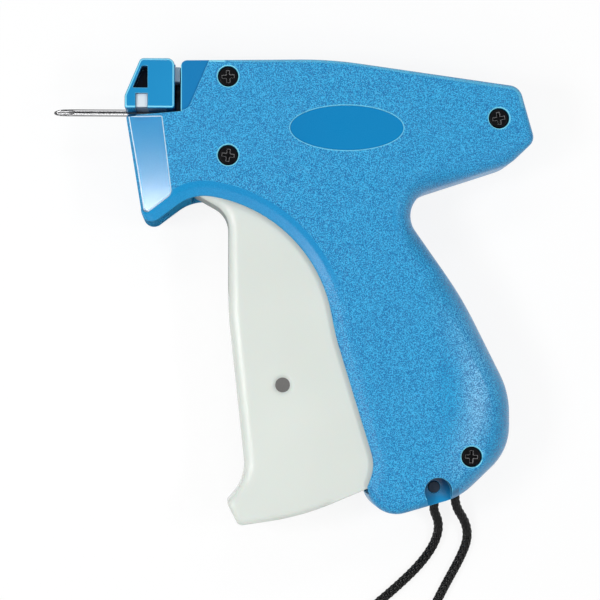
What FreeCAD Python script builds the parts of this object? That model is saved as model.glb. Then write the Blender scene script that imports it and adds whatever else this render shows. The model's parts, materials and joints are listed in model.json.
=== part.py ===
import FreeCAD, Part
import math
import os
from FreeCAD import Vector

# Garment tag attacher, lying on its right side. All lengths are in millimetres.
# X points away from the needle, Y points to the top of the head, Z points away from the table.
# The origin is on the resting face, under the drive lever's pivot.

os.makedirs("parts", exist_ok=True)

# ---- driving dimensions: housing ----
thickness = 28.0
wall = 2.2
needle_y = 55.0
head_rise = 15.2
grip_foot = -70.2
slot_gap = 1.0
slot_below_axis = 1.0
nose_fall = 1.5
clip_slot_width = 1.9
clip_notch = 1.2
clip_notch_low = 6.0
clip_slot_right = -63.9
nose_front = -80.9
bay_front = -60.9
bay_clearance = 0.7
band_width = 2.8
band_drop = 1.0
head_recess = 0.6
badge_recess = 0.35
badge_centre = (-13.6, needle_y - 5.8)
badge_length = 34.6
badge_height = 13.7
crown_width = 1.7
crown_drop = 0.22
bevel_depth = 0.5
bevel_angle = 13.0
bevel_backing = 5.0
front_chamfer = 0.8
front_chamfer_angle = 50.0
chute_left = -70.7
chute_width = 3.1
chute_low = 17.0
chute_high = 30.0
chute_depth = 10.0
bay_back = -2.0
bay_low = -64.0
bay_high = 34.0

# ---- driving dimensions: screws and pins ----
screw_places = [
    (-49.6, needle_y + 9.7), (-49.6, needle_y - 14.2), (32.7, needle_y - 2.7), (24.1, -50.4)
]
boss_radius = 3.6
counterbore_radius = 3.15
counterbore_depth = 2.4
counterbore_chamfer = 0.3
screw_head_radius = 2.95
screw_head_height = 1.7
screw_shank_radius = 1.45
screw_length = 19.0
screw_hole_clearance = 0.2
cross_length = 3.7
cross_width = 0.95
cross_depth = 1.0
cross_core = 0.8
screw_turns = [4.0, -7.0, 9.0, -3.0]
pin_radius = 1.5
pin_seat = 1.2
running_clearance = 0.05
side_clearance = 0.3

# ---- driving dimensions: trigger, link and lever ----
trigger_pivot = (-52.5, 33.0)
trigger_width = 21.6
trigger_wall = 2.2
trigger_hub_radius = 4.4
trigger_tube_radius = 3.2
link_pin_place = (-33.0, -28.7)
link_pin_radius = 2.25
link_eye_radius = 4.6
link_width = 12.0
link_height = 7.0
clevis_gap = 4.8
clevis_depth = 8.2
joint_place = (-2.0, -25.0)
joint_slack = 0.93
joint_slack_angle = -81.0
joint_clearance = 0.1
lever_thickness = 4.0
lever_hub_radius = 5.5
lever_boss_radius = 3.5
lever_eye_radius = 3.5
lever_arm_width = 7.0
lever_waist = 20.0
lever_shoulder = 30.0

# ---- driving dimensions: slider and rod ----
slider_pin_x = 16.0
slider_window = 16.8
slider_bridge = 3.0
slider_height = 10.0
slider_width = 11.0
slider_gap = 4.8
slider_stroke = 41.1
fork_slot = 4.4
fork_prong = 2.4
fork_overlap = 3.05
fork_root_gap = 2.4
rod_radius = 0.6
rod_clearance = 0.08
rod_tip_rest = -61.6
rod_socket = 2.2
guide_length = 20.0
guide_height = 8.0
guide_width = 12.0
rail_thickness = 1.3

# ---- driving dimensions: head ----
needle_tip = -103.1
needle_base = -67.6
needle_radius = 1.05
needle_bore = 0.75
needle_slot = 0.6
needle_bevel = 7.0
block_wall = 1.6
window_left = -77.6
window_right = -73.9
window_top = needle_y + 4.5
bar_height = 1.6
pocket_top = needle_y + 12.8
pocket_depth = 9.0
holder_left = -78.1
holder_right = -68.4
holder_drop = 3.2
holder_rise = 4.2
holder_depth = 5.0
tower_depth = 4.0
track_right = -60.2
track_gap = 0.2
track_top_gap = 2.8
tag_bar = 1.5
guide_strip_width = 1.6
guide_strip_rise = 8.5
guide_strip_height = 4.4
guide_peg_radius = 0.6
block_pegs = [(-72.2, needle_y + 9.8), (-72.2, needle_y + 6.7)]
block_peg_radius = 1.2
block_peg_depth = 3.0
peg_post_radius = 2.2
leaf_thickness = 0.35
leaf_bed = 1.6
leaf_bow = 0.9
knife_thickness = 0.6
lock_centre = (-73.6, needle_y - 8.1)
lock_radius = 3.6
lock_flange_radius = 4.5
lock_stem_radius = 2.2
lock_cam_reach = 4.7
feed_pivot = (-58.2, needle_y - 9.2)
feed_thickness = 2.4
feed_hub_radius = 2.6
feed_arm_width = 2.6
feed_drop = 2.2
feed_spring_line = [(-10.4, -6.0), (-8.2, -9.0), (-1.2, -4.3)]
feed_spring_thickness = 0.5
feed_spring_width = 1.6

# ---- driving dimensions: return spring ----
spring_coil_radius = 4.7
spring_wire_radius = 0.45
spring_turns = 3.0
spring_pitch = 1.25
spring_leg = 12.5

# ---- driving dimensions: wrist cord ----
cord_radius = 1.5
lanyard_place = (13.1, -59.7)
lanyard_pin_radius = 1.2
lanyard_head_radius = 1.7
lanyard_head_height = 1.1
lanyard_recess_radius = 4.2
lanyard_recess_centre = (14.0, -60.9)
lanyard_recess_depth = 5.0
lanyard_recess_taper = 3.3
lanyard_floor_thickness = 1.6
anchor_left = 12.2
anchor_right = 23.0
anchor_low = -58.0
anchor_high = -53.9
anchor_lug_radius = 2.0
anchor_thickness = 6.0
anchor_socket = 3.4
cord_exit_height = 8.6
cord_way_left = 12.2
cord_way_right = 24.0
cord_way_depth = 2.6
cord_way_drop = 2.4

parting = thickness / 2
head_top = needle_y + head_rise
beyond = 2.0
toe = (-46.3, -71.3)
clip_slot_left = clip_slot_right - clip_slot_width
slot_bottom = needle_y - slot_below_axis
slot_top = slot_bottom + slot_gap
guide_start = clip_slot_right + wall + knife_thickness + 0.1
slider_length = slider_window + 2 * slider_bridge
slider_front = slider_pin_x - slider_length / 2
slider_back = slider_pin_x + slider_length / 2
holder_high = needle_y + holder_rise
track_low = holder_high + track_gap
track_left = block_pegs[0][0] + peg_post_radius + track_gap
fork_root = needle_y - fork_root_gap
fork_reach = math.hypot(slider_stroke - slider_pin_x, needle_y) + fork_overlap

# Each outline corner is (x, y, corner radius, radius of the rounded rim above it).
tail_and_grip = [
    (-19.0, head_top, 120.0, 1.5),
    (39.2, needle_y + 7.2, 4.4, 2.2),
    (43.9, needle_y - 9.2, 3.4, 2.6),
    (36.5, needle_y - 16.4, 12.0, 5.0),
    (1.4, 27.1, 8.0, 6.0),
    (21.7, -1.9, 110.0, 6.0),
    (36.2, -31.0, 26.0, 6.0),
    (36.2, -48.6, 17.5, 6.0),
    (20.9, -62.8, 20.0, 5.0),
    (-5.8, grip_foot, 9.2, 3.5),
    (-11.64, -37.0, 0.0, 3.0),
]
left_outline = [
    (nose_front, 10.0, 0.0, 0.0),
    (nose_front, slot_bottom - nose_fall, 0.0, 0.0),
    (clip_slot_right, slot_bottom, 0.0, 0.6),
    (clip_slot_right, head_top - 0.6, 1.9, 1.0),
] + tail_and_grip
right_outline = [
    (nose_front, 10.0, 0.0, 0.8),
    (nose_front, needle_y + 3.8, 2.0, 0.8),
    (nose_front + 4.8, head_top, 1.6, 1.0),
] + tail_and_grip

# What nose and trigger leave open: front line, nose tip, nose underside, lip round the trigger.
opening_outline = [
    (2 * nose_front, slot_top, 0.0),
    (nose_front, slot_top, 0.0),
    (-74.9, 18.2, 3.2),
    (-60.2, 29.3, 13.5),
    (-24.2, 23.2, 44.0),
    (-16.9, -14.2, 60.0),
    (-5.0, -53.2, 11.5),
    (-13.6, grip_foot - 5.8, 0.0),
    (2 * nose_front, grip_foot - 5.8, 0.0),
]
lip_sides = [2, 3, 4, 5, 6]
front_side = 1

# The sloping panel on the nose. It runs out past the front edge.
bevel_panel = [
    (nose_front - 5.1, needle_y - 2.2, 0.0),
    (-69.4, needle_y - 2.2, 0.8),
    (-66.4, 28.9, 3.0),
    (-74.0, 23.2, 1.2),
    (nose_front - 5.1, 30.2, 0.0),
]

# The trigger, from the tip of its tongue down the finger side and back up behind the lip.
trigger_outline = [
    (-60.2, 29.7, 0.0, 2.0),
    (-49.4, 23.6, 8.0, 2.2),
    (-49.4, -6.0, 100.0, 2.8),
    (-43.9, -57.5, 14.0, 2.8),
    (-49.9, -64.2, 1.4, 1.0),
    toe + (2.0, 1.0),
    (-27.0, -68.4, 80.0, 0.5),
    (-5.0, -59.2, 0.0, 0.4),
    (-3.6, -52.6, 10.5, 0.0),
    (-15.5, -13.8, 60.0, 0.0),
    (-23.0, 24.4, 45.5, 0.0),
    (-50.5, 33.5, 2.0, 0.0),
    (-59.1, 31.9, 0.0, 0.0),
]
trigger_closed_sides = [0, 1, 2, 3, 4, 5, 6]

# The wrist cord's route, from one end in the anchor, round the loop and back.
cord_points = [
    (17.1, -54.6, 8.6),
    (17.1, -59.6, 8.6),
    (13.9, -66.4, 6.4),
    (16.8, -71.8, 2.8),
    (15.6, -78.0, 1.5),
    (10.8, -84.8, 1.5),
    (3.4, -91.8, 1.5),
    (-5.0, -98.8, 1.5),
    (-14.4, -106.6, 1.5),
    (-23.8, -116.8, 1.5),
    (-29.8, -130.4, 1.5),
    (-25.6, -144.6, 1.5),
    (-12.4, -150.4, 1.5),
    (0.4, -143.2, 1.5),
    (6.4, -129.4, 1.5),
    (9.6, -114.6, 1.5),
    (13.2, -101.8, 1.5),
    (18.4, -91.6, 1.5),
    (23.4, -82.8, 1.5),
    (25.8, -76.8, 1.5),
    (25.0, -71.6, 2.8),
    (21.3, -66.4, 6.2),
    (20.9, -60.4, 8.6),
    (20.9, -54.6, 8.6),
]


# ---- helpers ----
def rounded(corners):
    """Closed wire through corners (x, y, radius, ...), each rounded by a tangent arc."""
    points = [Vector(c[0], c[1], 0) for c in corners]
    count = len(corners)
    turns = []
    for i in range(count):
        here, radius = points[i], corners[i][2]
        back = (points[i - 1] - here).normalize()
        ahead = (points[(i + 1) % count] - here).normalize()
        if radius <= 0:
            turns.append((here, here, None))
            continue
        half = back.getAngle(ahead) / 2
        reach = radius / math.tan(half)
        crown = here + (back + ahead).normalize() * (radius / math.sin(half) - radius)
        turns.append((here + back * reach, here + ahead * reach, crown))
    edges = []
    for i in range(count):
        start, end, crown = turns[i]
        if crown is not None:
            edges.append(Part.Arc(start, crown, end).toShape())
        following = turns[(i + 1) % count][0]
        if (following - end).Length > 1e-4:
            edges.append(Part.makeLine(end, following))
    return Part.Wire(edges)


def moved_out(corners, distances):
    """The corners with each side moved outward. distances[i] belongs to the side after corner i."""
    count = len(corners)
    area = sum(
        corners[i - 1][0] * corners[i][1] - corners[i][0] * corners[i - 1][1]
        for i in range(count)
    )
    sense = 1 if area > 0 else -1
    result = []
    for i in range(count):
        before, here, after = (
            Vector(corners[k % count][0], corners[k % count][1], 0) for k in (i - 1, i, i + 1)
        )
        into = (here - before).normalize()
        out = (after - here).normalize()
        cross = into.x * out.y - into.y * out.x
        start = here + Vector(into.y, -into.x, 0) * sense * distances[i - 1]
        gap = here + Vector(out.y, -out.x, 0) * sense * distances[i] - start
        place = start + into * ((gap.x * out.y - gap.y * out.x) / cross)
        radius = corners[i][2]
        if radius > 0:
            mean = (distances[i - 1] + distances[i]) / 2
            radius = max(radius + (mean if cross * sense > 0 else -mean), 0.2)
        result.append((place.x, place.y, radius) + tuple(corners[i][3:]))
    return result


def chosen(corners, sides, distance, others=0.0):
    """One distance for the listed sides of an outline and another for the rest."""
    return [distance if i in sides else others for i in range(len(corners))]


def slab(corners, low, high):
    """Straight-walled solid over a rounded outline, from z = low to z = high."""
    face = Part.Face(rounded(corners))
    face.translate(Vector(0, 0, low))
    return face.extrude(Vector(0, 0, high - low))


def disc(place, radius, low, high):
    return Part.makeCylinder(radius, high - low, Vector(place[0], place[1], low))


def box(x0, x1, y0, y1, z0, z1):
    return Part.makeBox(x1 - x0, y1 - y0, z1 - z0, Vector(x0, y0, z0))


def bar_along_x(x0, x1, radius):
    """Round bar on the needle's axis."""
    return Part.makeCylinder(radius, x1 - x0, Vector(x0, needle_y, parting), Vector(1, 0, 0))


def strap(start, end, width, low, high):
    """Flat bar with square ends between two places."""
    a, b = Vector(start[0], start[1], low), Vector(end[0], end[1], low)
    side = (b - a).normalize().cross(Vector(0, 0, 1)) * (width / 2)
    wire = Part.makePolygon([a + side, b + side, b - side, a - side, a + side])
    return Part.Face(wire).extrude(Vector(0, 0, high - low))


def mirrored(shape):
    """The same shape on the other side of the parting plane."""
    return shape.mirror(Vector(0, 0, parting), Vector(0, 0, 1))


def joined(shapes):
    """One clean solid of several that touch or overlap."""
    first = shapes[0]
    return first.fuse(shapes[1:]).removeSplitter() if len(shapes) > 1 else first


def turned(shape, centre, degrees):
    """The shape turned about a vertical line through a place."""
    copy = shape.copy()
    copy.rotate(Vector(centre[0], centre[1], 0), Vector(0, 0, 1), degrees)
    return copy


def saved(shape, name):
    """Writes one sub-part and reports its size."""
    solids = shape.Solids
    body = solids[0] if len(solids) == 1 else Part.makeCompound(solids)
    body.exportStep("parts/" + name + ".step")
    print(name, len(solids), round(body.Volume, 1), body.isValid())
    return body


def nearest_side(corners, point):
    """Index of the corner that starts the side nearest to a point."""
    distances = []
    for i in range(len(corners)):
        a = Vector(corners[i][0], corners[i][1], 0)
        b = Vector(corners[(i + 1) % len(corners)][0], corners[(i + 1) % len(corners)][1], 0)
        along = b - a
        share = max(0, min(1, (point - a).dot(along) / along.dot(along)))
        distances.append((point - a - along * share).Length)
    return distances.index(min(distances))


def softened(solid, corners, height):
    """Rounds the rim of a slab at z = height. Each corner's fourth value is the rim's radius there."""
    count = len(corners)
    rims = []
    for number, edge in enumerate(solid.Edges, 1):
        if any(abs(v.Z - height) > 1e-5 for v in edge.Vertexes):
            continue
        start = edge.valueAt(edge.FirstParameter)
        middle = edge.valueAt((edge.FirstParameter + edge.LastParameter) / 2)
        if edge.Curve.TypeId == "Part::GeomLine":
            side = nearest_side(corners, Vector(middle.x, middle.y, 0))
            first, last = corners[side], corners[(side + 1) % count]
            from_first = math.hypot(start.x - first[0], start.y - first[1])
            from_last = math.hypot(start.x - last[0], start.y - last[1])
            if from_first > from_last:
                first, last = last, first
        else:
            first = last = min(corners, key=lambda c: math.hypot(middle.x - c[0], middle.y - c[1]))
        if first[3] > 0 and last[3] > 0:
            rims.append((number, first[3], last[3]))
    document = FreeCAD.newDocument("rim")
    base = document.addObject("Part::Feature", "base")
    base.Shape = solid
    rim = document.addObject("Part::Fillet", "rim")
    rim.Base = base
    rim.Edges = rims
    document.recompute()
    result = rim.Shape.Solids[0].copy()
    FreeCAD.closeDocument(document.Name)
    return result


# ---- housing ----
def lip_slope(near, far, low, high):
    """Cutter over a slope round the lip that rises from z = low to high between two distances."""
    rise = (high - low) / (far - near)
    levels = []
    for reach in (0, far + beyond):
        wire = rounded(moved_out(opening_outline, chosen(opening_outline, lip_sides, reach)))
        wire.translate(Vector(0, 0, low + (reach - near) * rise))
        levels.append(wire)
    return Part.makeLoft(levels, True, True)


def lip_cutters():
    """What is cut from one half for nose and trigger: the opening, its band and the band's crown."""
    crown_low = thickness - crown_drop
    return [
        slab(opening_outline, parting - 1, thickness + 1),
        lip_slope(0, band_width, crown_low - band_drop, crown_low),
        lip_slope(band_width, band_width + crown_width, crown_low, thickness),
    ]


def outer_form(outline):
    """Solid half of the housing above the parting plane, with its lip and rounded rims."""
    outer = softened(slab(outline, parting, thickness), outline, thickness)
    for cutter in lip_cutters():
        outer = outer.cut(cutter)
    return outer


def half_shell(outline):
    """Hollow half of the housing, open at the trigger bay."""
    outer = outer_form(outline)
    sides = range(len(outline))
    shrunk = moved_out(outline, chosen(outline, sides, -wall))
    shrunk = [c[:3] + (max(c[3] - wall, 0.3) if c[3] > 0 else 0.0,) for c in shrunk]
    hollow = softened(slab(shrunk, parting, thickness - wall), shrunk, thickness - wall)
    kept = moved_out(opening_outline, chosen(opening_outline, [front_side] + lip_sides, wall))
    hollow = hollow.cut(slab(kept, parting - 1, thickness))
    return outer.cut(hollow).cut(trigger_bay())


def trigger_bay():
    """Room that the trigger sweeps, between the two face plates."""
    reach = math.hypot(toe[0] - trigger_pivot[0], toe[1] - trigger_pivot[1]) + bay_clearance
    sweep = disc(trigger_pivot, reach, parting - 1, thickness - wall)
    return sweep.common(box(bay_front, bay_back, bay_low, bay_high, parting - 1, thickness - wall))


def bosses():
    """Everything inside a half that carries a screw, a pin or the slider."""
    top = thickness - wall / 2
    shapes = [disc(place, boss_radius, parting, top) for place in screw_places]
    shapes.append(disc((0, 0), lever_boss_radius, parting + lever_thickness / 2 + 0.15, top))
    shapes.append(disc(trigger_pivot, 3.0, parting + trigger_width / 2 + 0.2, top))
    rail_low = parting + slider_width / 2 + side_clearance
    rail_left = slider_front - slider_stroke - 1.0
    rail_right = slider_back + 1.0
    for side in (-1, 1):
        near = needle_y + side * (slider_height / 2 + side_clearance)
        far = near + side * rail_thickness
        low = parting + clevis_gap / 2 + 0.2
        shapes.append(box(rail_left, rail_right, min(near, far), max(near, far), low, top))
    half_rib = rail_thickness / 2
    shapes.append(box(rail_left, rail_right, needle_y - half_rib, needle_y + half_rib, rail_low, top))
    seat_left = guide_start + 4.0
    seat_right = guide_start + guide_length - 4.0
    guide_top = parting + guide_width / 2
    shapes.append(box(seat_left, seat_right, needle_y - 3.0, needle_y + 3.0, guide_top, top))
    return shapes


def pin_holes():
    """Blind seats in a half for the two pivot pins."""
    return [
        disc((0, 0), pin_radius, parting, thickness - wall - pin_seat),
        disc(trigger_pivot, pin_radius, parting, thickness - wall + pin_seat),
    ]


def clip_passage():
    """Slot for the fasteners' cross bars, the rod's way through the wall and the spine's way out."""
    left = track_left + 0.6
    right = track_right - 0.6
    bars = box(left, right, track_low, head_top + beyond, parting - tag_bar / 2, parting + tag_bar / 2)
    rod_way = bar_along_x(clip_slot_right - 4.0, guide_start + 0.4, rod_radius + 0.6)
    half_depth = chute_depth / 2
    chute = box(
        chute_left, chute_left + chute_width, chute_low, chute_high,
        parting - half_depth, parting + half_depth,
    )
    needle_way = bar_along_x(nose_front - 1, holder_left, needle_radius + 0.15)
    return [bars, rod_way, needle_way, chute]


def falling_cutter(place, along, angle):
    """Everything above a plane through a place that holds a level line and falls to its left."""
    size = 2 * needle_y
    above = Part.makeBox(size, 2 * size, size, Vector(-size, -size, 0))
    above.rotate(Vector(0, 0, 0), Vector(0, 1, 0), -angle)
    above.rotate(Vector(0, 0, 0), Vector(0, 0, 1), 90 + math.degrees(math.atan2(along.y, along.x)))
    above.translate(place)
    return above


def bevel_cutter():
    """Sloping panel on the side of the nose, chamfered along the nose's front."""
    top, foot = (Vector(c[0], c[1], 0) for c in bevel_panel[1:3])
    slope_line = foot - top
    prism = slab(bevel_panel, parting, thickness + beyond)
    panel = falling_cutter(foot + Vector(0, 0, thickness - bevel_depth), slope_line, bevel_angle)
    front_top, front_foot = (Vector(c[0], c[1], 0) for c in opening_outline[1:3])
    front_line = front_foot - front_top
    inward = Vector(-front_line.y, front_line.x, 0).normalize() * front_chamfer
    edge = (front_top + front_foot) / 2 + inward
    across = abs((edge - foot).cross(slope_line.normalize()).z)
    edge.z = thickness - bevel_depth - across * math.tan(math.radians(bevel_angle))
    chamfer = falling_cutter(edge, front_line, front_chamfer_angle)
    return prism.common(panel.fuse(chamfer))


def lanyard_arch(grow, low, high):
    """Arch round the lanyard pin, open towards the grip's foot, where it narrows on one side."""
    radius = lanyard_recess_radius + grow
    x, y = lanyard_recess_centre
    foot_y = grip_foot - beyond
    foot = [
        (x - radius, y, 0.0),
        (x - radius + lanyard_recess_taper, foot_y, 0.0),
        (x + radius, foot_y, 0.0),
        (x + radius, y, 0.0),
    ]
    return joined([disc((x, y), radius, low, high), slab(foot, low, high)])


def lanyard_floor():
    return thickness - lanyard_recess_depth


def cord_way():
    """Opening in the grip's bottom wall for both strands of the cord."""
    low = cord_exit_height - cord_radius - cord_way_drop
    high = cord_exit_height + anchor_thickness / 2 + 0.2
    return box(
        cord_way_left, cord_way_right, grip_foot - beyond, anchor_low + cord_way_depth, low, high
    )


def left_shell():
    half = joined([half_shell(left_outline)] + bosses())
    pad_low = lanyard_floor() - lanyard_floor_thickness
    pad = lanyard_arch(lanyard_floor_thickness, pad_low, thickness - wall)
    half = half.fuse(pad.common(grip_core()))
    backing = slab(bevel_panel, thickness - bevel_backing, thickness - wall / 2)
    half = half.fuse(backing.common(outer_form(left_outline)))
    half = half.fuse(disc(lock_centre, lock_stem_radius + 1.4, parting, thickness - wall / 2))
    cutters = pin_holes() + clip_passage() + [bevel_cutter()]
    cutters.append(lanyard_arch(0, lanyard_floor(), thickness + 1))
    cutters.append(disc(lanyard_place, lanyard_head_radius, lanyard_head_low(), thickness))
    cutters.append(disc(lanyard_place, lanyard_pin_radius, parting, thickness))
    mouth = Vector(lanyard_place[0], lanyard_place[1], lanyard_floor() - counterbore_chamfer)
    wide = lanyard_head_radius + 2 * counterbore_chamfer
    cutters.append(Part.makeCone(lanyard_head_radius, wide, 2 * counterbore_chamfer, mouth))
    cutters.append(disc(lock_centre, lock_stem_radius + running_clearance, parting, parting + 3.0))
    for place in screw_places:
        floor = thickness - counterbore_depth
        cutters.append(disc(place, counterbore_radius, floor, thickness + 1))
        mouth = Vector(place[0], place[1], thickness - counterbore_chamfer)
        wide = counterbore_radius + 2 * counterbore_chamfer
        cutters.append(Part.makeCone(counterbore_radius, wide, 2 * counterbore_chamfer, mouth))
        hole = screw_shank_radius + screw_hole_clearance
        cutters.append(disc(place, hole, parting, thickness))
    step_low, step_high = slot_bottom + 0.3, head_top + beyond
    step = [
        (clip_slot_left, step_low, 0.0),
        (clip_slot_right + 2.1, step_low, 3.4),
        (clip_slot_right + 9.7, step_high, 0.0),
        (clip_slot_left, step_high, 0.0),
    ]
    cutters.append(slab(step, thickness - head_recess, thickness + 1))
    cutters.append(badge_cutter())
    return half.cut(Part.makeCompound(cutters)).removeSplitter()


def badge_cutter():
    """Shallow bare oval on the side of the head."""
    centre = Vector(badge_centre[0], badge_centre[1], thickness - badge_recess)
    oval = Part.Ellipse(centre, badge_length / 2, badge_height / 2).toShape()
    return Part.Face(Part.Wire(oval)).extrude(Vector(0, 0, badge_recess + 1))


def grip_core():
    """Solid inside of the grip's bottom wall, which limits what stands on that wall."""
    outline = moved_out(left_outline, chosen(left_outline, range(len(left_outline)), -wall / 2))
    return slab(outline, parting, thickness - wall / 2)


def right_shell():
    half = joined([half_shell(right_outline)] + bosses())
    half = half.fuse(disc(lock_centre, lock_flange_radius + 1.5, thickness - wall - 2.0, thickness - wall))
    cutters = pin_holes() + clip_passage()
    for place in screw_places:
        depth = screw_length - (thickness / 2 - counterbore_depth)
        cutters.append(disc(place, screw_shank_radius, parting, parting + depth + 0.8))
    cutters.append(disc(lock_centre, lock_radius + 0.1, parting, thickness + 1))
    cutters.append(disc(lock_centre, lock_flange_radius + 0.1, parting, thickness - wall))
    cutters.append(box(
        clip_slot_left, clip_slot_right, head_top - clip_notch, head_top + beyond,
        parting, thickness - clip_notch_low,
    ))
    half = mirrored(half.cut(Part.makeCompound(cutters)))
    half = half.fuse(disc(lanyard_place, lanyard_pin_radius + 1.4, wall / 2, lanyard_foot() + 1.4))
    half = half.fuse(disc(feed_pivot, feed_hub_radius, wall / 2, feed_low() - 0.2))
    half = half.cut(disc(lanyard_place, lanyard_pin_radius, lanyard_foot(), parting))
    half = half.cut(disc(feed_pivot, pin_radius, wall, parting))
    half = half.cut(cord_way())
    return half.removeSplitter()


def lanyard_foot():
    return wall + 0.2


def lanyard_head_low():
    return lanyard_floor() - 0.9


def feed_low():
    return parting - feed_drop - feed_thickness


# ---- head ----
def head_block():
    """Cap over the needle's seat, with the slanted pocket, the bar and the window under it."""
    outline = [
        (nose_front, slot_top, 0.6, 0.9),
        (nose_front, needle_y + 3.8, 2.0, 0.9),
        (nose_front + 4.8, head_top, 1.6, 0.9),
        (clip_slot_left, head_top, 2.2, 0.9),
        (clip_slot_left, slot_top, 0.9, 0.9),
    ]
    outer = softened(slab(outline, parting, thickness), outline, thickness)
    inner = moved_out(outline, chosen(outline, range(len(outline)), -block_wall))
    hollow = slab(inner, parting, thickness - block_wall)
    bar_top = window_top + bar_height
    pocket = [
        (window_left - 0.9, bar_top, 0.3),
        (window_right, bar_top, 0.3),
        (window_right, pocket_top, 0.3),
        (window_left + 1.9, pocket_top, 0.5),
    ]
    pocket_floor = thickness - pocket_depth
    around = moved_out(pocket, chosen(pocket, range(4), 1.1))
    cup = slab(around, pocket_floor - 1.2, thickness - block_wall).common(slab(outline, 0, thickness))
    block = outer.cut(hollow).fuse(cup)
    block = block.cut(slab(pocket, pocket_floor, thickness + 1))
    window = box(window_left, window_right, slot_top - 1, window_top, parting, thickness + 1)
    base_room = box(
        holder_left - 0.1, holder_right + 0.1, slot_top - 1, holder_high + 0.2, parting, parting + 2
    )
    way = bar_along_x(nose_front - 1, clip_slot_left + 1, needle_radius + 0.4)
    bar_top = parting + tag_bar / 2
    bars = box(track_left + 0.6, track_right, track_low, head_top + beyond, parting - 1, bar_top)
    pegs = [disc(place, block_peg_radius, parting - block_peg_depth, parting + 4.0) for place in block_pegs]
    posts = [disc(place, peg_post_radius, parting, thickness - block_wall / 2) for place in block_pegs]
    block = block.cut(Part.makeCompound([window, base_room, way, bars]))
    return joined([block] + posts + pegs)


def peg_sockets():
    """Posts in the right half that take the cap's two pegs."""
    posts = [disc(place, peg_post_radius, wall / 2, parting) for place in block_pegs]
    low = parting - block_peg_depth - 0.4
    return posts, [disc(place, block_peg_radius, low, parting + 1) for place in block_pegs]


def needle():
    """Slotted steel tube with a long slanting point."""
    tube = bar_along_x(needle_tip, needle_base, needle_radius)
    tube = tube.cut(bar_along_x(needle_tip - 1, needle_base + 1, needle_bore))
    half_slot = needle_slot / 2
    slot_low, slot_high = needle_y - half_slot, needle_y + half_slot
    slot = box(needle_tip - 1, needle_base - 3, slot_low, slot_high, parting, parting + needle_radius)
    angle = math.degrees(math.atan2(2 * needle_radius, needle_bevel))
    reach = 3 * needle_bevel
    bevel = box(-reach, reach, -reach, reach, 0, reach)
    bevel.rotate(Vector(0, 0, 0), Vector(0, 1, 0), -angle)
    bevel.translate(Vector(needle_tip, needle_y, parting - needle_radius + 0.05))
    return tube.cut(slot).cut(bevel)


def needle_holder():
    """White seat under the needle, with the tower that shows in the cap's window."""
    low = parting - holder_depth
    base = box(holder_left, holder_right, needle_y - holder_drop, holder_high, low, parting)
    tower = box(
        window_left + 0.1, window_right - 0.1, needle_y + 0.4, window_top - 0.1, low, thickness - tower_depth
    )
    return joined([base, tower]).cut(bar_along_x(holder_left - 1, holder_right + 1, needle_radius))


def clip_track():
    """Dark block under the fasteners' cross bars, with a bed for the leaf spring."""
    top = parting - tag_bar / 2
    track_high = head_top - track_top_gap
    block = box(track_left, track_right, track_low, track_high, wall, top)
    bed_left, bed_right = clip_slot_left - 0.1, clip_slot_right + 0.1
    bed = box(bed_left, bed_right, track_low - 1, track_high - 1, top - leaf_bed, top + 1)
    return block.cut(bed)


def clip_guide():
    """Pale strip beside the clip's way down, pegged into the cap's side."""
    left = clip_slot_left
    right = left + guide_strip_width
    low = needle_y + guide_strip_rise
    strip = box(left, right, low, low + guide_strip_height, parting + 1.6, parting + 10.0)
    return joined([strip, guide_peg()])


def guide_peg():
    """The guide strip's peg, and with the same size its hole in the cap's side."""
    place = Vector(clip_slot_left - block_wall, needle_y + 9.8, parting + 5)
    return Part.makeCylinder(guide_peg_radius, block_wall, place, Vector(1, 0, 0))


def clip_spring():
    """Leaf that lifts the cross bars to the rod's height."""
    low = parting - tag_bar / 2 - leaf_bed
    tip, knee, foot = needle_y - 2.0, needle_y + 7.0, needle_y + 11.0
    middle = (tip + knee) / 2
    high = low + leaf_thickness
    edges = [
        Part.makeLine(Vector(0, foot, low), Vector(0, knee, low)),
        Part.Arc(Vector(0, knee, low), Vector(0, middle, low + leaf_bow), Vector(0, tip, low)).toShape(),
        Part.makeLine(Vector(0, tip, low), Vector(0, tip, high)),
        Part.Arc(Vector(0, tip, high), Vector(0, middle, high + leaf_bow), Vector(0, knee, high)).toShape(),
        Part.makeLine(Vector(0, knee, high), Vector(0, foot, high)),
        Part.makeLine(Vector(0, foot, high), Vector(0, foot, low)),
    ]
    leaf = Part.Face(Part.Wire(edges)).extrude(Vector(clip_slot_width - 0.5, 0, 0))
    leaf.translate(Vector(clip_slot_left + 0.25, 0, 0))
    return leaf


def knife_blade():
    """Small cutter that parts the fastener from the clip as the rod comes through."""
    right = guide_start
    blade = box(right - knife_thickness, right, needle_y - 3.6, needle_y + 3.6, parting + 0.9, parting + 5.4)
    edge = box(-5, 0, -6, 6, -2, 0)
    edge.rotate(Vector(0, 0, 0), Vector(0, 1, 0), 30)
    edge.translate(Vector(right - knife_thickness, needle_y, parting + 1.6))
    return blade.cut(edge)


def rod_guide():
    """Bored block that keeps the push rod on the needle's axis."""
    half_height, half_width = guide_height / 2, guide_width / 2
    block = box(
        guide_start, guide_start + guide_length,
        needle_y - half_height, needle_y + half_height,
        parting - half_width, parting + half_width,
    )
    bore = bar_along_x(guide_start - 1, guide_start + guide_length + 1, rod_radius + rod_clearance)
    return block.cut(bore)


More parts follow.
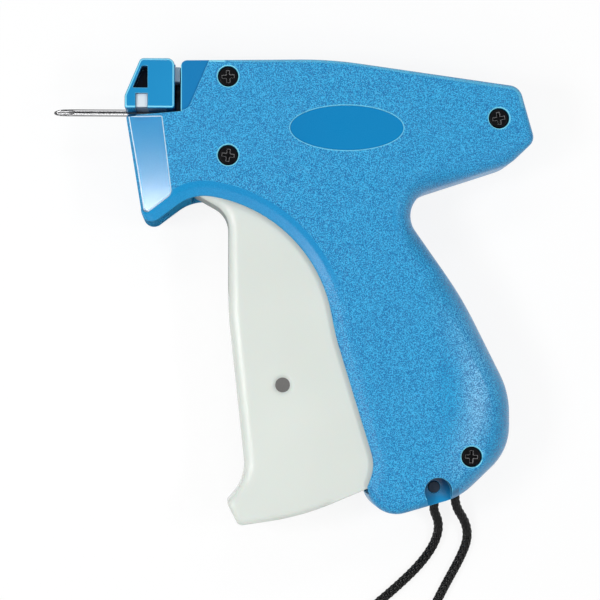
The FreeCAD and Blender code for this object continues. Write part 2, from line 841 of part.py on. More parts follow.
def needle_lock():
    """Coin-slotted turn lock whose cam bears on the needle's seat."""
    knob = disc(lock_centre, lock_radius, 0.3, wall + 0.3)
    flange = disc(lock_centre, lock_flange_radius, wall + 0.1, wall + 1.7)
    stem = disc(lock_centre, lock_stem_radius, wall + 1.7, parting + 2.6)
    x, y = lock_centre
    cam = joined([
        disc((x, y), lock_stem_radius + 0.6, parting - 5.0, parting - 1.0),
        strap((x, y), (x, y + lock_cam_reach), 2.6, parting - 5.0, parting - 1.0),
    ])
    slot = box(x - 2.7, x + 2.7, y - 0.5, y + 0.5, 0, 1.4)
    return joined([knob, flange, stem, cam]).cut(slot)


def feed_lever():
    """Pawl that draws the clip down by one fastener."""
    low = feed_low()
    high = low + feed_thickness
    tip = (clip_slot_left + 1.2, needle_y - 4.2)
    tail = (trigger_pivot[0] - 4.6, trigger_pivot[1] + 7.0)
    pawl = joined([
        disc(feed_pivot, feed_hub_radius, low, high),
        strap(feed_pivot, tip, feed_arm_width, low, high),
        disc(tip, feed_arm_width / 2, low, high),
        strap(feed_pivot, tail, 2.4, low, high),
        disc(tail, 1.2, low, high),
    ])
    return pawl.cut(disc(feed_pivot, pin_radius + running_clearance, low - 1, high + 1))


def beside_feed_pivot(offset):
    return (feed_pivot[0] + offset[0], feed_pivot[1] + offset[1])


def feed_spring():
    """Leaf that brings the pawl back, bent from a foot on the right half."""
    low = feed_low() + 0.4
    foot, bend, tip = (beside_feed_pivot(offset) for offset in feed_spring_line)
    high = low + feed_spring_width
    return joined([
        strap(bend, tip, feed_spring_thickness, low, high),
        strap(bend, foot, feed_spring_thickness, low, high),
    ])


def feed_post():
    """Post on the right half that carries the feed spring's foot."""
    return disc(beside_feed_pivot(feed_spring_line[0]), 1.3, wall / 2, feed_low() + 0.4)


# ---- fasteners and pins ----
def housing_screws():
    """Four cross-headed screws, each with its head in a counterbore."""
    screws = []
    for place, turn in zip(screw_places, screw_turns):
        seat = thickness - counterbore_depth
        head = disc(place, screw_head_radius, seat, seat + screw_head_height)
        rim = [e for e in head.Edges if abs(e.BoundBox.ZMin - seat - screw_head_height) < 1e-5]
        head = head.makeFillet(0.5, [e for e in rim if e.BoundBox.ZLength < 1e-5])
        shank = disc(place, screw_shank_radius, seat - screw_length, seat)
        x, y = place
        top = seat + screw_head_height
        long, short = cross_length / 2, cross_width / 2
        cross = box(x - long, x + long, y - short, y + short, top - cross_depth, top + 1)
        cross = cross.fuse(box(x - short, x + short, y - long, y + long, top - cross_depth, top + 1))
        cross = cross.fuse(disc(place, cross_core, top - cross_depth, top + 1))
        screws.append(joined([head, shank]).cut(turned(cross, place, turn)))
    return Part.makeCompound(screws)


def trigger_pivot_pin():
    return disc(trigger_pivot, pin_radius, wall - pin_seat, thickness - wall + pin_seat)


def lever_pivot_pin():
    return disc((0, 0), pin_radius, wall + pin_seat, thickness - wall - pin_seat)


def lanyard_pin():
    """Headed pin across the grip that holds the cord's anchor."""
    low = lanyard_head_low()
    return joined([
        disc(lanyard_place, lanyard_pin_radius, lanyard_foot(), low),
        disc(lanyard_place, lanyard_head_radius, low, low + lanyard_head_height),
    ])


def feed_pivot_pin():
    return disc(feed_pivot, pin_radius, wall, feed_low() + feed_thickness + 0.6)


# ---- trigger, link and lever ----
def trigger():
    """Channel-shaped lever, closed towards the fingers and open towards the grip."""
    top = parting + trigger_width / 2
    half = softened(slab(trigger_outline, parting, top), trigger_outline, top)
    body = joined([half, mirrored(half), disc(trigger_pivot, trigger_hub_radius, thickness - top, top)])
    inner_top = top - trigger_wall
    sides = chosen(trigger_outline, trigger_closed_sides, -trigger_wall, 1.0)
    channel = slab(moved_out(trigger_outline, sides), thickness - inner_top, inner_top)
    channel = channel.fuse(disc(trigger_pivot, trigger_hub_radius + 1, thickness - inner_top, inner_top))
    body = body.cut(channel)
    body = body.fuse(disc(trigger_pivot, trigger_tube_radius, thickness - top, top))
    body = body.cut(disc(trigger_pivot, pin_radius + running_clearance, 0, thickness))
    body = body.cut(disc(link_pin_place, link_pin_radius, 0, thickness))
    return body.removeSplitter()


def trigger_link_pin():
    half = trigger_width / 2
    return disc(link_pin_place, link_pin_radius, parting - half, parting + half)


def trigger_link():
    """Bar from trigger to lever, forked at the lever, where its eye is long to take up slack."""
    low, high = parting - link_width / 2, parting + link_width / 2
    bar = joined([
        disc(link_pin_place, link_eye_radius, low, high),
        strap(link_pin_place, joint_place, link_height, low, high),
        disc(joint_place, link_eye_radius, low, high),
    ])
    reach = Vector(joint_place[0] - link_pin_place[0], joint_place[1] - link_pin_place[1], 0)
    along = reach.normalize()
    start = (joint_place[0] - along.x * clevis_depth, joint_place[1] - along.y * clevis_depth)
    end = (joint_place[0] + along.x * 8, joint_place[1] + along.y * 8)
    gap = strap(start, end, 12, parting - clevis_gap / 2, parting + clevis_gap / 2)
    slack = math.radians(joint_slack_angle)
    far = (joint_place[0] + joint_slack * math.cos(slack), joint_place[1] + joint_slack * math.sin(slack))
    eye = pin_radius + joint_clearance
    hole = joined([
        disc(joint_place, eye, 0, thickness),
        disc(far, eye, 0, thickness),
        strap(joint_place, far, 2 * eye, 0, thickness),
    ])
    bore = disc(link_pin_place, link_pin_radius + running_clearance, 0, thickness)
    return bar.cut(gap).cut(hole).cut(bore)


def drive_lever():
    """Cranked plate, forked at the top, that turns the link's pull into the slider's long stroke."""
    low, high = parting - lever_thickness / 2, parting + lever_thickness / 2
    reach = math.hypot(slider_pin_x, needle_y)
    ux, uy = slider_pin_x / reach, needle_y / reach
    half = lever_arm_width / 2
    neck = fork_root - 0.6
    upper = [
        (-half - 0.4, 0.0, 0.0),
        (half - 0.4, 0.0, 0.0),
        (half - 1.7, lever_waist, 30.0),
        (half - 0.6, lever_shoulder, 12.0),
        (ux * (neck - 4.0) + half, uy * (neck - 4.0) - 2.0, 4.0),
        (ux * neck + half * uy, uy * neck - half * ux, 0.0),
        (ux * neck - half * uy, uy * neck + half * ux, 0.0),
        (ux * (neck - 8.0) - half - 1.0, uy * (neck - 8.0) + 1.0, 8.0),
        (-half - 1.7, lever_shoulder, 14.0),
        (-half - 2.3, lever_waist, 30.0),
    ]
    fork_half = fork_slot / 2 + fork_prong
    root = (ux * (fork_root - 3.4), uy * (fork_root - 3.4))
    tip = (ux * fork_reach, uy * fork_reach)
    plate = joined([
        disc((0, 0), lever_hub_radius, low, high),
        strap((0, 0), joint_place, lever_arm_width, low, high),
        disc(joint_place, lever_eye_radius, low, high),
        slab(upper, low, high),
        strap(root, tip, 2 * fork_half, low, high),
        disc(root, fork_half, low, high),
    ])
    slot_start = (ux * fork_root, uy * fork_root)
    slot_end = (ux * (fork_reach + 2), uy * (fork_reach + 2))
    slot = strap(slot_start, slot_end, fork_slot, low - 1, high + 1)
    plate = plate.cut(slot).cut(disc((0, 0), pin_radius + running_clearance, 0, thickness))
    return plate.cut(disc(joint_place, pin_radius, 0, thickness))


def link_pin():
    return disc(joint_place, pin_radius, parting - link_width / 2, parting + link_width / 2)


def return_spring():
    """Torsion spring round the lever's pivot, with one leg on the lever and one on the housing."""
    base = parting + lever_thickness / 2 + spring_wire_radius + 0.3
    helix = Part.makeHelix(spring_pitch, spring_pitch * spring_turns, spring_coil_radius)
    helix.translate(Vector(0, 0, base))
    wire = helix.Wires[0]
    start = Vector(spring_coil_radius, 0, base)
    profile = Part.Wire(Part.Circle(start, Vector(0, 1, 0), spring_wire_radius).toShape())
    coil = wire.makePipeShell([profile], True, True)
    end = Vector(spring_coil_radius, 0, base + spring_pitch * spring_turns)
    legs = [
        Part.makeCylinder(spring_wire_radius, spring_leg, start, Vector(0, -1, 0)),
        Part.makeCylinder(spring_wire_radius, spring_leg, end, Vector(0, 1, 0)),
    ]
    return coil.fuse(legs[0]).fuse(legs[1])


# ---- slider and rod ----
def slider():
    """Open-sided carriage on the needle's axis, with a window for the lever's fork."""
    half_height, half_width = slider_height / 2, slider_width / 2
    block = box(
        slider_front, slider_back,
        needle_y - half_height, needle_y + half_height,
        parting - half_width, parting + half_width,
    )
    window = box(
        slider_front + slider_bridge, slider_back - slider_bridge,
        needle_y - half_height - 1, needle_y + half_height + 1,
        parting - slider_gap / 2, parting + slider_gap / 2,
    )
    block = block.cut(window).cut(disc((slider_pin_x, needle_y), pin_radius, 0, thickness))
    return block.cut(bar_along_x(slider_front - 1, slider_front + rod_socket, rod_radius))


def slider_pin():
    half = slider_width / 2
    return disc((slider_pin_x, needle_y), pin_radius, parting - half, parting + half)


def push_rod():
    return bar_along_x(rod_tip_rest, slider_front + rod_socket, rod_radius)


# ---- wrist cord ----
def cord_anchor():
    """Clamp block on the lanyard pin, with a socket for each end of the cord."""
    low = cord_exit_height - anchor_thickness / 2
    high = cord_exit_height + anchor_thickness / 2
    block = joined([
        box(anchor_left, anchor_right, anchor_low, anchor_high, low, high),
        disc(lanyard_place, anchor_lug_radius, low, high),
    ])
    block = block.cut(disc(lanyard_place, lanyard_pin_radius, 0, thickness))
    for end in (cord_points[0], cord_points[-1]):
        mouth = Vector(end[0], anchor_low - 1, end[2])
        block = block.cut(Part.makeCylinder(cord_radius, anchor_socket + 1, mouth, Vector(0, 1, 0)))
    return block


def wrist_cord():
    """Limp cord, as straight runs joined by tangent arcs."""
    points = [Vector(*p) for p in cord_points]
    runs = [(points[i + 1] - points[i]).Length for i in range(len(points) - 1)]
    edges, radii, here = [], [], points[0]
    for i in range(1, len(points) - 1):
        back = (points[i - 1] - points[i]).normalize()
        ahead = (points[i + 1] - points[i]).normalize()
        half_turn = (math.pi - back.getAngle(ahead)) / 2
        reach = 0.45 * min(runs[i - 1], runs[i])
        radius = reach / math.tan(half_turn)
        crown = points[i] + (back + ahead).normalize() * (radius / math.cos(half_turn) - radius)
        start, end = points[i] + back * reach, points[i] + ahead * reach
        edges.append(Part.makeLine(here, start))
        edges.append(Part.Arc(start, crown, end).toShape())
        radii.append(round(radius, 1))
        here = end
    edges.append(Part.makeLine(here, points[-1]))
    path = Part.Wire(edges)
    first = (points[1] - points[0]).normalize()
    profile = Part.Wire(Part.Circle(points[0], first, cord_radius).toShape())
    tube = path.makePipeShell([profile], True, True)
    expected = math.pi * cord_radius**2 * path.Length
    print("cord length", round(path.Length, 1), "radii", radii, "runs", [round(r, 1) for r in runs])
    print("cord volume", round(tube.Volume, 1), "section times length", round(expected, 1))
    return tube


# ---- all sub-parts ----
posts, sockets = peg_sockets()
right = right_shell().fuse(posts + [feed_post()]).cut(Part.makeCompound(sockets)).removeSplitter()
saved(left_shell(), "left_shell")
saved(right, "right_shell")
saved(head_block().cut(guide_peg()), "head_block")
saved(needle(), "needle")
saved(needle_holder(), "needle_holder")
saved(clip_track(), "clip_track")
saved(clip_guide(), "clip_guide")
saved(clip_spring(), "clip_spring")
saved(knife_blade(), "knife_blade")
saved(rod_guide(), "rod_guide")
saved(needle_lock(), "needle_lock")
saved(feed_lever(), "feed_lever")
saved(feed_spring(), "feed_spring")
saved(feed_pivot_pin(), "feed_pivot_pin")
saved(housing_screws(), "housing_screws")
saved(trigger_pivot_pin(), "trigger_pivot_pin")
saved(lever_pivot_pin(), "lever_pivot_pin")
saved(lanyard_pin(), "lanyard_pin")
saved(trigger(), "trigger")
saved(trigger_link_pin(), "trigger_link_pin")
saved(trigger_link(), "trigger_link")
saved(drive_lever(), "drive_lever")
saved(link_pin(), "link_pin")
saved(return_spring(), "return_spring")
saved(slider(), "slider")
saved(slider_pin(), "slider_pin")
saved(push_rod(), "push_rod")
saved(cord_anchor(), "cord_anchor")
saved(wrist_cord(), "wrist_cord")
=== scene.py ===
# %% [markdown]
# # A garment tag attacher
# The tool lies on its side on a pale table: two blue moulded shells, a white trigger, a slotted
# steel needle and a black wrist cord. Its pieces come packed at their real size and place. This
# lesson leaves them where they are, gives each one the finish of the real thing, and makes the
# few forms that are easier to draw here than in a solid modeller, above all the cord.

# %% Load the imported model
import json
import math

import bmesh
import bpy
from mathutils import Matrix, Vector


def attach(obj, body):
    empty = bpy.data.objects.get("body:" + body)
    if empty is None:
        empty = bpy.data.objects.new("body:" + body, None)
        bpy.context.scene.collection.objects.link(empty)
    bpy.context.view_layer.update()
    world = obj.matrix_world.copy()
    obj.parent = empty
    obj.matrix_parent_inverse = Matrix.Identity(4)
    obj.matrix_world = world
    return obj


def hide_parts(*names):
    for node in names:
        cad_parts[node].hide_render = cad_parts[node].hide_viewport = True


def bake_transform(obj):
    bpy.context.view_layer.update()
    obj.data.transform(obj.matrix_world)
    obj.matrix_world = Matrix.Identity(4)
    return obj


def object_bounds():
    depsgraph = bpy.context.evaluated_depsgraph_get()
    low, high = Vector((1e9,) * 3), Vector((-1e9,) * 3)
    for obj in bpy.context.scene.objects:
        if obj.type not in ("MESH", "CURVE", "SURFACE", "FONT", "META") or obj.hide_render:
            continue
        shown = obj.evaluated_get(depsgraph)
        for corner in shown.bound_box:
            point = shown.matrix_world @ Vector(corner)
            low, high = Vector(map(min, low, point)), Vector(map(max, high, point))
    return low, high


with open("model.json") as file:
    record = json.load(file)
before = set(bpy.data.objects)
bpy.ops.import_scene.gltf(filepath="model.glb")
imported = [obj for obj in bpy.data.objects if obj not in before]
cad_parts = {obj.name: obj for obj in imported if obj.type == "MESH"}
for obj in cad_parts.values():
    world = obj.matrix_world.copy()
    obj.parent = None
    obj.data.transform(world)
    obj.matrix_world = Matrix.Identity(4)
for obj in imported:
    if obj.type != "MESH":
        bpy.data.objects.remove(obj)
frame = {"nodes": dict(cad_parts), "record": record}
nodes = frame["nodes"]
cad_low, cad_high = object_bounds()
MM = 0.001
print("pieces:", len(nodes), "size in mm:", [round(side / MM, 1) for side in cad_high - cad_low])

# %% [markdown]
# ## Camera
# The tool is seen from above, a little from its lower left, through a long lens, so that both
# ends keep nearly the same scale. A camera's own -Z axis points at the subject. Blender's helper
# for aiming turns the picture when the view is straight down, so the three axes are written out.

# %% Camera
AIM = Vector((-27.32, -2.56, 14.0)) * MM
STAND_OFF = Vector((-26.0, -25.0, 700.0)) * MM

camera = bpy.data.objects.new("camera", bpy.data.cameras.new("camera"))
camera.data.lens = 136.5
camera.data.sensor_width = 36.0
camera.data.clip_start = 0.01
ahead = -STAND_OFF.normalized()
right = ahead.cross(Vector((0, 1, 0))).normalized()
above = right.cross(ahead)
axes = Matrix((right, above, -ahead)).transposed().to_4x4()
camera.matrix_world = Matrix.Translation(AIM + STAND_OFF) @ axes
bpy.context.scene.collection.objects.link(camera)
bpy.context.scene.camera = camera
bpy.context.scene.view_settings.view_transform = "Standard"
print("camera is", round(STAND_OFF.length, 3), "m from the tool")

# %% [markdown]
# ## Wrist cord: its route
# Both ends of a limp 3 mm cord are clamped inside the grip, and the loop lies on the table. The
# route is a list of places in millimetres that steer the cord, so it is easy to change by hand.

# %% The cord's route
CORD_RADIUS = 1.5 * MM
CORD_ROUTE = [
    (17.1, -54.6, 8.6),
    (17.1, -59.6, 8.6),
    (13.9, -66.4, 6.4),
    (16.8, -71.8, 2.8),
    (15.6, -78.0, 1.5),
    (10.8, -84.8, 1.5),
    (3.4, -91.8, 1.5),
    (-5.0, -98.8, 1.5),
    (-14.4, -106.6, 1.5),
    (-23.8, -116.8, 1.5),
    (-29.8, -130.4, 1.5),
    (-25.6, -144.6, 1.5),
    (-12.4, -150.4, 1.5),
    (0.4, -143.2, 1.5),
    (6.4, -129.4, 1.5),
    (9.6, -114.6, 1.5),
    (13.2, -101.8, 1.5),
    (18.4, -91.6, 1.5),
    (23.4, -82.8, 1.5),
    (25.8, -76.8, 1.5),
    (25.0, -71.6, 2.8),
    (21.3, -66.4, 6.2),
    (20.9, -60.4, 8.6),
    (20.9, -54.6, 8.6),
]
print("route has", len(CORD_ROUTE), "places")

# %% [markdown]
# ## Wrist cord: its line
# A polyline would kink like wire. A NURBS curve is right for a limp cord: the places steer the
# line without lying on it, so that it has no corners. The order is set after the points, because
# a curve with too few points falls back to straight runs. The braid needs rings at equal steps,
# so the curve is read back as points and walked along at one step.

# %% The cord's line
RING_STEP = 0.22 * MM


def nurbs_line(name, route):
    """An open NURBS curve whose control points are the route's places, given in millimetres."""
    data = bpy.data.curves.new(name, "CURVE")
    data.dimensions = "3D"
    data.resolution_u = 24
    spline = data.splines.new("NURBS")
    spline.points.add(len(route) - 1)
    for point, place in zip(spline.points, route):
        point.co = (*(Vector(place) * MM), 1.0)
    spline.order_u = 3
    spline.use_endpoint_u = True
    curve = bpy.data.objects.new(name, data)
    bpy.context.scene.collection.objects.link(curve)
    return curve


def points_along(curve):
    """The points of a curve that has no thickness, in order."""
    bpy.context.view_layer.update()
    finished = curve.evaluated_get(bpy.context.evaluated_depsgraph_get())
    mesh = bpy.data.meshes.new_from_object(finished)
    points = [vertex.co.copy() for vertex in mesh.vertices]
    bpy.data.meshes.remove(mesh)
    return points


def evenly(points, step):
    """The same line with points a step apart, and its length."""
    lengths = [0.0]
    for before, after in zip(points, points[1:]):
        lengths.append(lengths[-1] + (after - before).length)
    count = round(lengths[-1] / step)
    result, k = [], 0
    for i in range(count + 1):
        reach = lengths[-1] * i / count
        while k < len(points) - 2 and lengths[k + 1] < reach:
            k += 1
        share = (reach - lengths[k]) / (lengths[k + 1] - lengths[k])
        result.append(points[k].lerp(points[k + 1], share))
    return result, lengths[-1]


cord_line = nurbs_line("cord_line", CORD_ROUTE)
cord_path, cord_length = evenly(points_along(cord_line), RING_STEP)
bpy.data.objects.remove(cord_line)
print("cord length in mm:", round(cord_length / MM, 1))

# %% [markdown]
# ## Wrist cord: its weave
# The cord is a tubular braid. Six yarns run round it each way and pass over and under each other.
# Twelve separate tubes would cross each other and be slow to mesh. One closed tube, whose radius
# follows the weave, gives the same surface: in each diamond of the weave one yarn lies on top,
# rounded across its own direction.

# %% The weave's height
YARNS_EACH_WAY = 6
YARN_FLATNESS = 0.6
YARN_DIVE = 0.28


def braid_height(along, around):
    """Height of the weave from 0 to 1. Both arguments are counted in whole pitches and turns."""
    left = YARNS_EACH_WAY * (around + along)
    back = YARNS_EACH_WAY * (around - along)
    left_over = (math.floor(left) + math.floor(back)) % 2 == 0
    across, along_yarn = (left % 1, back % 1) if left_over else (back % 1, left % 1)
    crown = math.sin(math.pi * across) ** YARN_FLATNESS
    dive = 1 - YARN_DIVE + YARN_DIVE * math.sin(math.pi * along_yarn)
    return crown * dive


print("height in the middle of a yarn:", round(braid_height(0.5 / YARNS_EACH_WAY, 0.0), 2))

# %% [markdown]
# ## Wrist cord: its tube
# The tube is built ring by ring along the line. Each ring keeps the direction of the one before
# as nearly as it can, so that the weave doesn't spin in the bends. The finished cord rides on the
# housing and stands in for the imported cord, which is hidden.

# %% The braided cord
BRAID_PITCH = 11.0 * MM
YARN_RELIEF = 0.38 * MM
RING_SIDES = 48


def link_piece(name, mesh):
    """An object in the scene with this mesh."""
    piece = bpy.data.objects.new(name, mesh)
    bpy.context.scene.collection.objects.link(piece)
    return piece


def smooth_piece(name, builder):
    """An object made of what a mesh builder holds, smooth all over."""
    bmesh.ops.recalc_face_normals(builder, faces=builder.faces)
    mesh = bpy.data.meshes.new(name)
    builder.to_mesh(mesh)
    builder.free()
    mesh.shade_smooth()
    return link_piece(name, mesh)


def braided_tube(name, path, radius):
    """Closed tube along a path. Its rings turn as little as possible from one to the next."""
    builder = bmesh.new()
    rings = []
    side = Vector((1, 0, 0))
    for i, centre in enumerate(path):
        heading = (path[min(i + 1, len(path) - 1)] - path[max(i - 1, 0)]).normalized()
        side = (side - heading * side.dot(heading)).normalized()
        other = heading.cross(side)
        ring = []
        for k in range(RING_SIDES):
            turn = k / RING_SIDES
            height = braid_height(i * RING_STEP / BRAID_PITCH, turn)
            reach = radius - YARN_RELIEF * (1 - height)
            angle = 2 * math.pi * turn
            outward = side * math.cos(angle) + other * math.sin(angle)
            ring.append(builder.verts.new(centre + outward * reach))
        rings.append(ring)
    for before, after in zip(rings, rings[1:]):
        for k in range(RING_SIDES):
            builder.faces.new((before[k - 1], before[k], after[k], after[k - 1]))
    builder.faces.new(rings[0])
    builder.faces.new(reversed(rings[-1]))
    return smooth_piece(name, builder)


cord = braided_tube("braided_cord", cord_path, CORD_RADIUS)
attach(cord, "housing")
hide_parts("wrist_cord")
print("cord faces:", len(cord.data.polygons))

# %% [markdown]
# ## Tools for finishes: nodes and colours
# A finish is a small graph of shader nodes. Wiring one by hand in code takes many lines, so a
# helper adds a node and fills its inputs with numbers or with other nodes' outputs. Colours are
# written as a screen shows them, from 0 to 255, and turned into the linear light that shaders use.

# %% Helpers for nodes and colours
def linear(red, green, blue):
    """Linear colour with alpha from the 0 to 255 values that a screen shows."""
    def channel(value):
        share = value / 255
        return share / 12.92 if share <= 0.04045 else ((share + 0.055) / 1.055) ** 2.4
    return channel(red), channel(green), channel(blue), 1.0


def connect(tree, value, socket):
    """Links a socket to another node's output, or sets it to a number or colour."""
    if isinstance(value, bpy.types.NodeSocket):
        tree.links.new(value, socket)
    else:
        socket.default_value = value


def put(tree, kind, inputs=None, **options):
    """Adds a shader node. Inputs are numbers, or the outputs that they are linked to."""
    made = tree.nodes.new("ShaderNode" + kind)
    for name, value in options.items():
        setattr(made, name, value)
    for key, value in (inputs or {}).items():
        connect(tree, value, made.inputs[key])
    return made


print("screen grey 128 is", round(linear(128, 128, 128)[0], 3), "in linear light")

# %% [markdown]
# ## Tools for finishes: sums and masks
# Most of a finish is simple sums on masks, which are 1 where an effect is and 0 where it isn't.
# Two masks multiplied leave what they share, and the larger of two is what either covers.

# %% Helpers for sums, masks and mixes
def calc(tree, operation, first, second=0.0):
    """Result of one sum on numbers or sockets."""
    return put(tree, "Math", {0: first, 1: second}, operation=operation).outputs[0]


def product(tree, first, *others):
    """What all masks share."""
    for other in others:
        first = calc(tree, "MULTIPLY", first, other)
    return first


def largest(tree, first, *others):
    """What any of the masks covers."""
    for other in others:
        first = calc(tree, "MAXIMUM", first, other)
    return first


def opposite(tree, mask):
    """1 where the mask is 0."""
    return calc(tree, "SUBTRACT", 1.0, mask)


def ramp(tree, value, low, high, to_low=0.0, to_high=1.0):
    """Smooth step of a value from one range to another."""
    return put(tree, "MapRange", {
        "Value": value, "From Min": low, "From Max": high, "To Min": to_low, "To Max": to_high,
    }, interpolation_type="SMOOTHSTEP").outputs["Result"]


def axes_in(tree, arrow):
    """The X, Y and Z of a vector."""
    return put(tree, "SeparateXYZ", {0: arrow}).outputs


def vector(tree, operation, inputs, result="Vector"):
    """Result of one sum on vectors."""
    return put(tree, "VectorMath", inputs, operation=operation).outputs[result]


def noise(tree, where, per_metre, detail, roughness=0.5):
    """Cloudy pattern with so many features in a metre."""
    return put(tree, "TexNoise", {
        "Vector": where, "Scale": per_metre, "Detail": detail, "Roughness": roughness,
    }).outputs["Fac"]


def mixed(tree, share, first, second, kind="RGBA"):
    """Colour between two colours, or normal between two normals."""
    mix = put(tree, "Mix", {"Factor": share}, data_type=kind)
    for value, socket in zip((first, second), [s for s in mix.inputs if s.type == kind][-2:]):
        connect(tree, value, socket)
    return next(s for s in mix.outputs if s.type == kind)


print("sums and masks ready")

# %% [markdown]
# ## Tools for finishes: groups
# A node group is an effect with a name, built once and placed in many materials, each with its
# own values. It could be copied into every material instead, but then a change would have to be
# made in each of them.

# %% Helpers for node groups
def new_group(name, inputs, outputs):
    """An empty node group with its sockets, and the nodes that hold them."""
    group = bpy.data.node_groups.new(name, "ShaderNodeTree")
    add = group.interface.new_socket
    for label, kind, value in inputs:
        socket = add(label, in_out="INPUT", socket_type="NodeSocket" + kind)
        if value is not None:
            socket.default_value = value
    for label, kind in outputs:
        add(label, in_out="OUTPUT", socket_type="NodeSocket" + kind)
    entry, end = group.nodes.new("NodeGroupInput"), group.nodes.new("NodeGroupOutput")
    return group, entry.outputs, end.inputs


def use(tree, group, inputs):
    """Places a node group in a material."""
    made = tree.nodes.new("ShaderNodeGroup")
    made.node_tree = group
    for key, value in inputs.items():
        connect(tree, value, made.inputs[key])
    return made.outputs


print("groups so far:", len(bpy.data.node_groups))

# %% [markdown]
# ## Moulded grain
# The mould of the two blue shells is spark-eroded, so the plastic comes out covered in tiny pits
# and peaks about half a millimetre apart. It is far too fine to model. A noise at that size
# gives a height for the bump, and a second, finer one gives light and dark flecks: painted
# glints on the peaks and painted shade in the pits.

# %% Group: moulded grain
GRAIN_SIZE = 0.50 * MM
FLECKS_PER_GRAIN = 1.72

grain, given, out = new_group(
    "moulded_grain",
    [("Place", "Vector", None), ("Grain Size", "Float", GRAIN_SIZE)],
    [("Height", "Float"), ("Fleck", "Float")],
)
per_metre = calc(grain, "DIVIDE", 1.0, given["Grain Size"])
pits = noise(grain, given["Place"], per_metre, 2.0, 0.6)
finer = calc(grain, "MULTIPLY", per_metre, FLECKS_PER_GRAIN)
peaks = put(grain, "TexVoronoi", {"Vector": given["Place"], "Scale": finer}, feature="SMOOTH_F1")
mound = calc(grain, "MULTIPLY", peaks.outputs["Distance"], 0.5)
grain.links.new(calc(grain, "SUBTRACT", pits, mound), out["Height"])
specks = noise(grain, given["Place"], finer, 1.0)
grain.links.new(ramp(grain, specks, 0.42, 0.58), out["Fleck"])
print("group", grain.name, "has", len(grain.nodes), "nodes")

# %% [markdown]
# ## Handled surface
# No moulding is quite even: its colour drifts a little over centimetres, and hands leave some
# places shinier than others. Two broad noises make both, with values of their own in each finish.

# %% Group: drift of colour and shine
DRIFTS_PER_METRE = 22.0
SMEARS_PER_METRE = 160.0

drift, given, out = new_group(
    "surface_drift",
    [
        ("Place", "Vector", None),
        ("Darker", "Color", (0.5, 0.5, 0.5, 1)),
        ("Lighter", "Color", (0.6, 0.6, 0.6, 1)),
        ("Roughness", "Float", 0.4),
        ("Spread", "Float", 0.06),
    ],
    [("Color", "Color"), ("Roughness", "Float")],
)
share = ramp(drift, noise(drift, given["Place"], DRIFTS_PER_METRE, 2.0), 0.3, 0.7)
drift.links.new(mixed(drift, share, given["Darker"], given["Lighter"]), out["Color"])
smears = noise(drift, given["Place"], SMEARS_PER_METRE, 4.0, 0.65)
change = calc(drift, "MULTIPLY", calc(drift, "SUBTRACT", smears, 0.5), given["Spread"])
drift.links.new(calc(drift, "ADD", given["Roughness"], change), out["Roughness"])


def toned(tree, place, darker, lighter, roughness, spread):
    """The drifting colour and roughness of a surface."""
    return use(tree, drift, {
        "Place": place["Object"], "Darker": darker, "Lighter": lighter,
        "Roughness": roughness, "Spread": spread,
    })


print("group", drift.name, "has", len(drift.nodes), "nodes")

# %% [markdown]
# ## Rounded edges, with wear and painted highlights
# Every moulded or pressed edge has a small radius, and it is drawn a little lighter than the
# faces beside it: partly wear, partly a painted highlight along the edge. Blender's Bevel node
# looks round a corner and gives the normal that a rounded edge would have. Where that normal
# turns away from the real one there is an edge, so the same node also finds the places for the
# lighter colour.

# %% Group: edge wear and painted highlight
edges, given, out = new_group(
    "edge_wear_and_highlight",
    [("Radius", "Float", 0.2 * MM), ("Amount", "Float", 1.0)],
    [("Normal", "Vector"), ("Wear", "Float")],
)
rounded = put(edges, "Bevel", {"Radius": given["Radius"]}, samples=6)
true_normal = put(edges, "NewGeometry").outputs["Normal"]
agreement = vector(edges, "DOT_PRODUCT", {0: rounded.outputs["Normal"], 1: true_normal}, "Value")
edges.links.new(rounded.outputs["Normal"], out["Normal"])
edges.links.new(product(edges, ramp(edges, agreement, 0.995, 0.80), given["Amount"]), out["Wear"])
print("group", edges.name, "has", len(edges.nodes), "nodes")

# %% [markdown]
# ## Zones: boxes
# One shell carries several finishes: grain on its sides, a smooth band round the trigger, a
# smooth badge and a polished panel on the nose. The shell is one mesh, so its material tells
# the zones apart by place. The first kind of zone is a box with soft edges, seen along Z.

# %% Group: box zone
zone, given, out = new_group(
    "zone_box",
    [
        ("Place", "Vector", None),
        ("Left", "Float", -1.0), ("Right", "Float", 1.0),
        ("Low", "Float", -1.0), ("High", "Float", 1.0),
        ("Softness", "Float", 0.3 * MM),
    ],
    [("Mask", "Float")],
)
parts = axes_in(zone, given["Place"])
sides = []
for coordinate, low, high in ((parts["X"], "Left", "Right"), (parts["Y"], "Low", "High")):
    for smaller, larger in ((given[low], coordinate), (coordinate, given[high])):
        sides.append(ramp(zone, calc(zone, "SUBTRACT", larger, smaller), 0.0, given["Softness"]))
zone.links.new(product(zone, *sides), out["Mask"])


def in_box(tree, place, box, soft, share=1.0):
    """Mask of a box, which is its left, right, low and high side in millimetres."""
    left, right, low, high = (side * MM for side in box)
    mask = use(tree, zone, {
        "Place": place["Object"], "Left": left, "Right": right, "Low": low, "High": high,
        "Softness": soft * MM,
    })["Mask"]
    return mask if share == 1.0 else product(tree, mask, share)


print("group", zone.name, "has", len(zone.nodes), "nodes")

# %% [markdown]
# ## Zones: ovals and slopes
# The badge is an oval, and a screw's counterbore is a disc, which is an oval with equal sides.
# The panel on the nose and the lip are told apart from the flat side by their slope: the Z of
# the normal is 1 on a flat face and falls as the face leans.

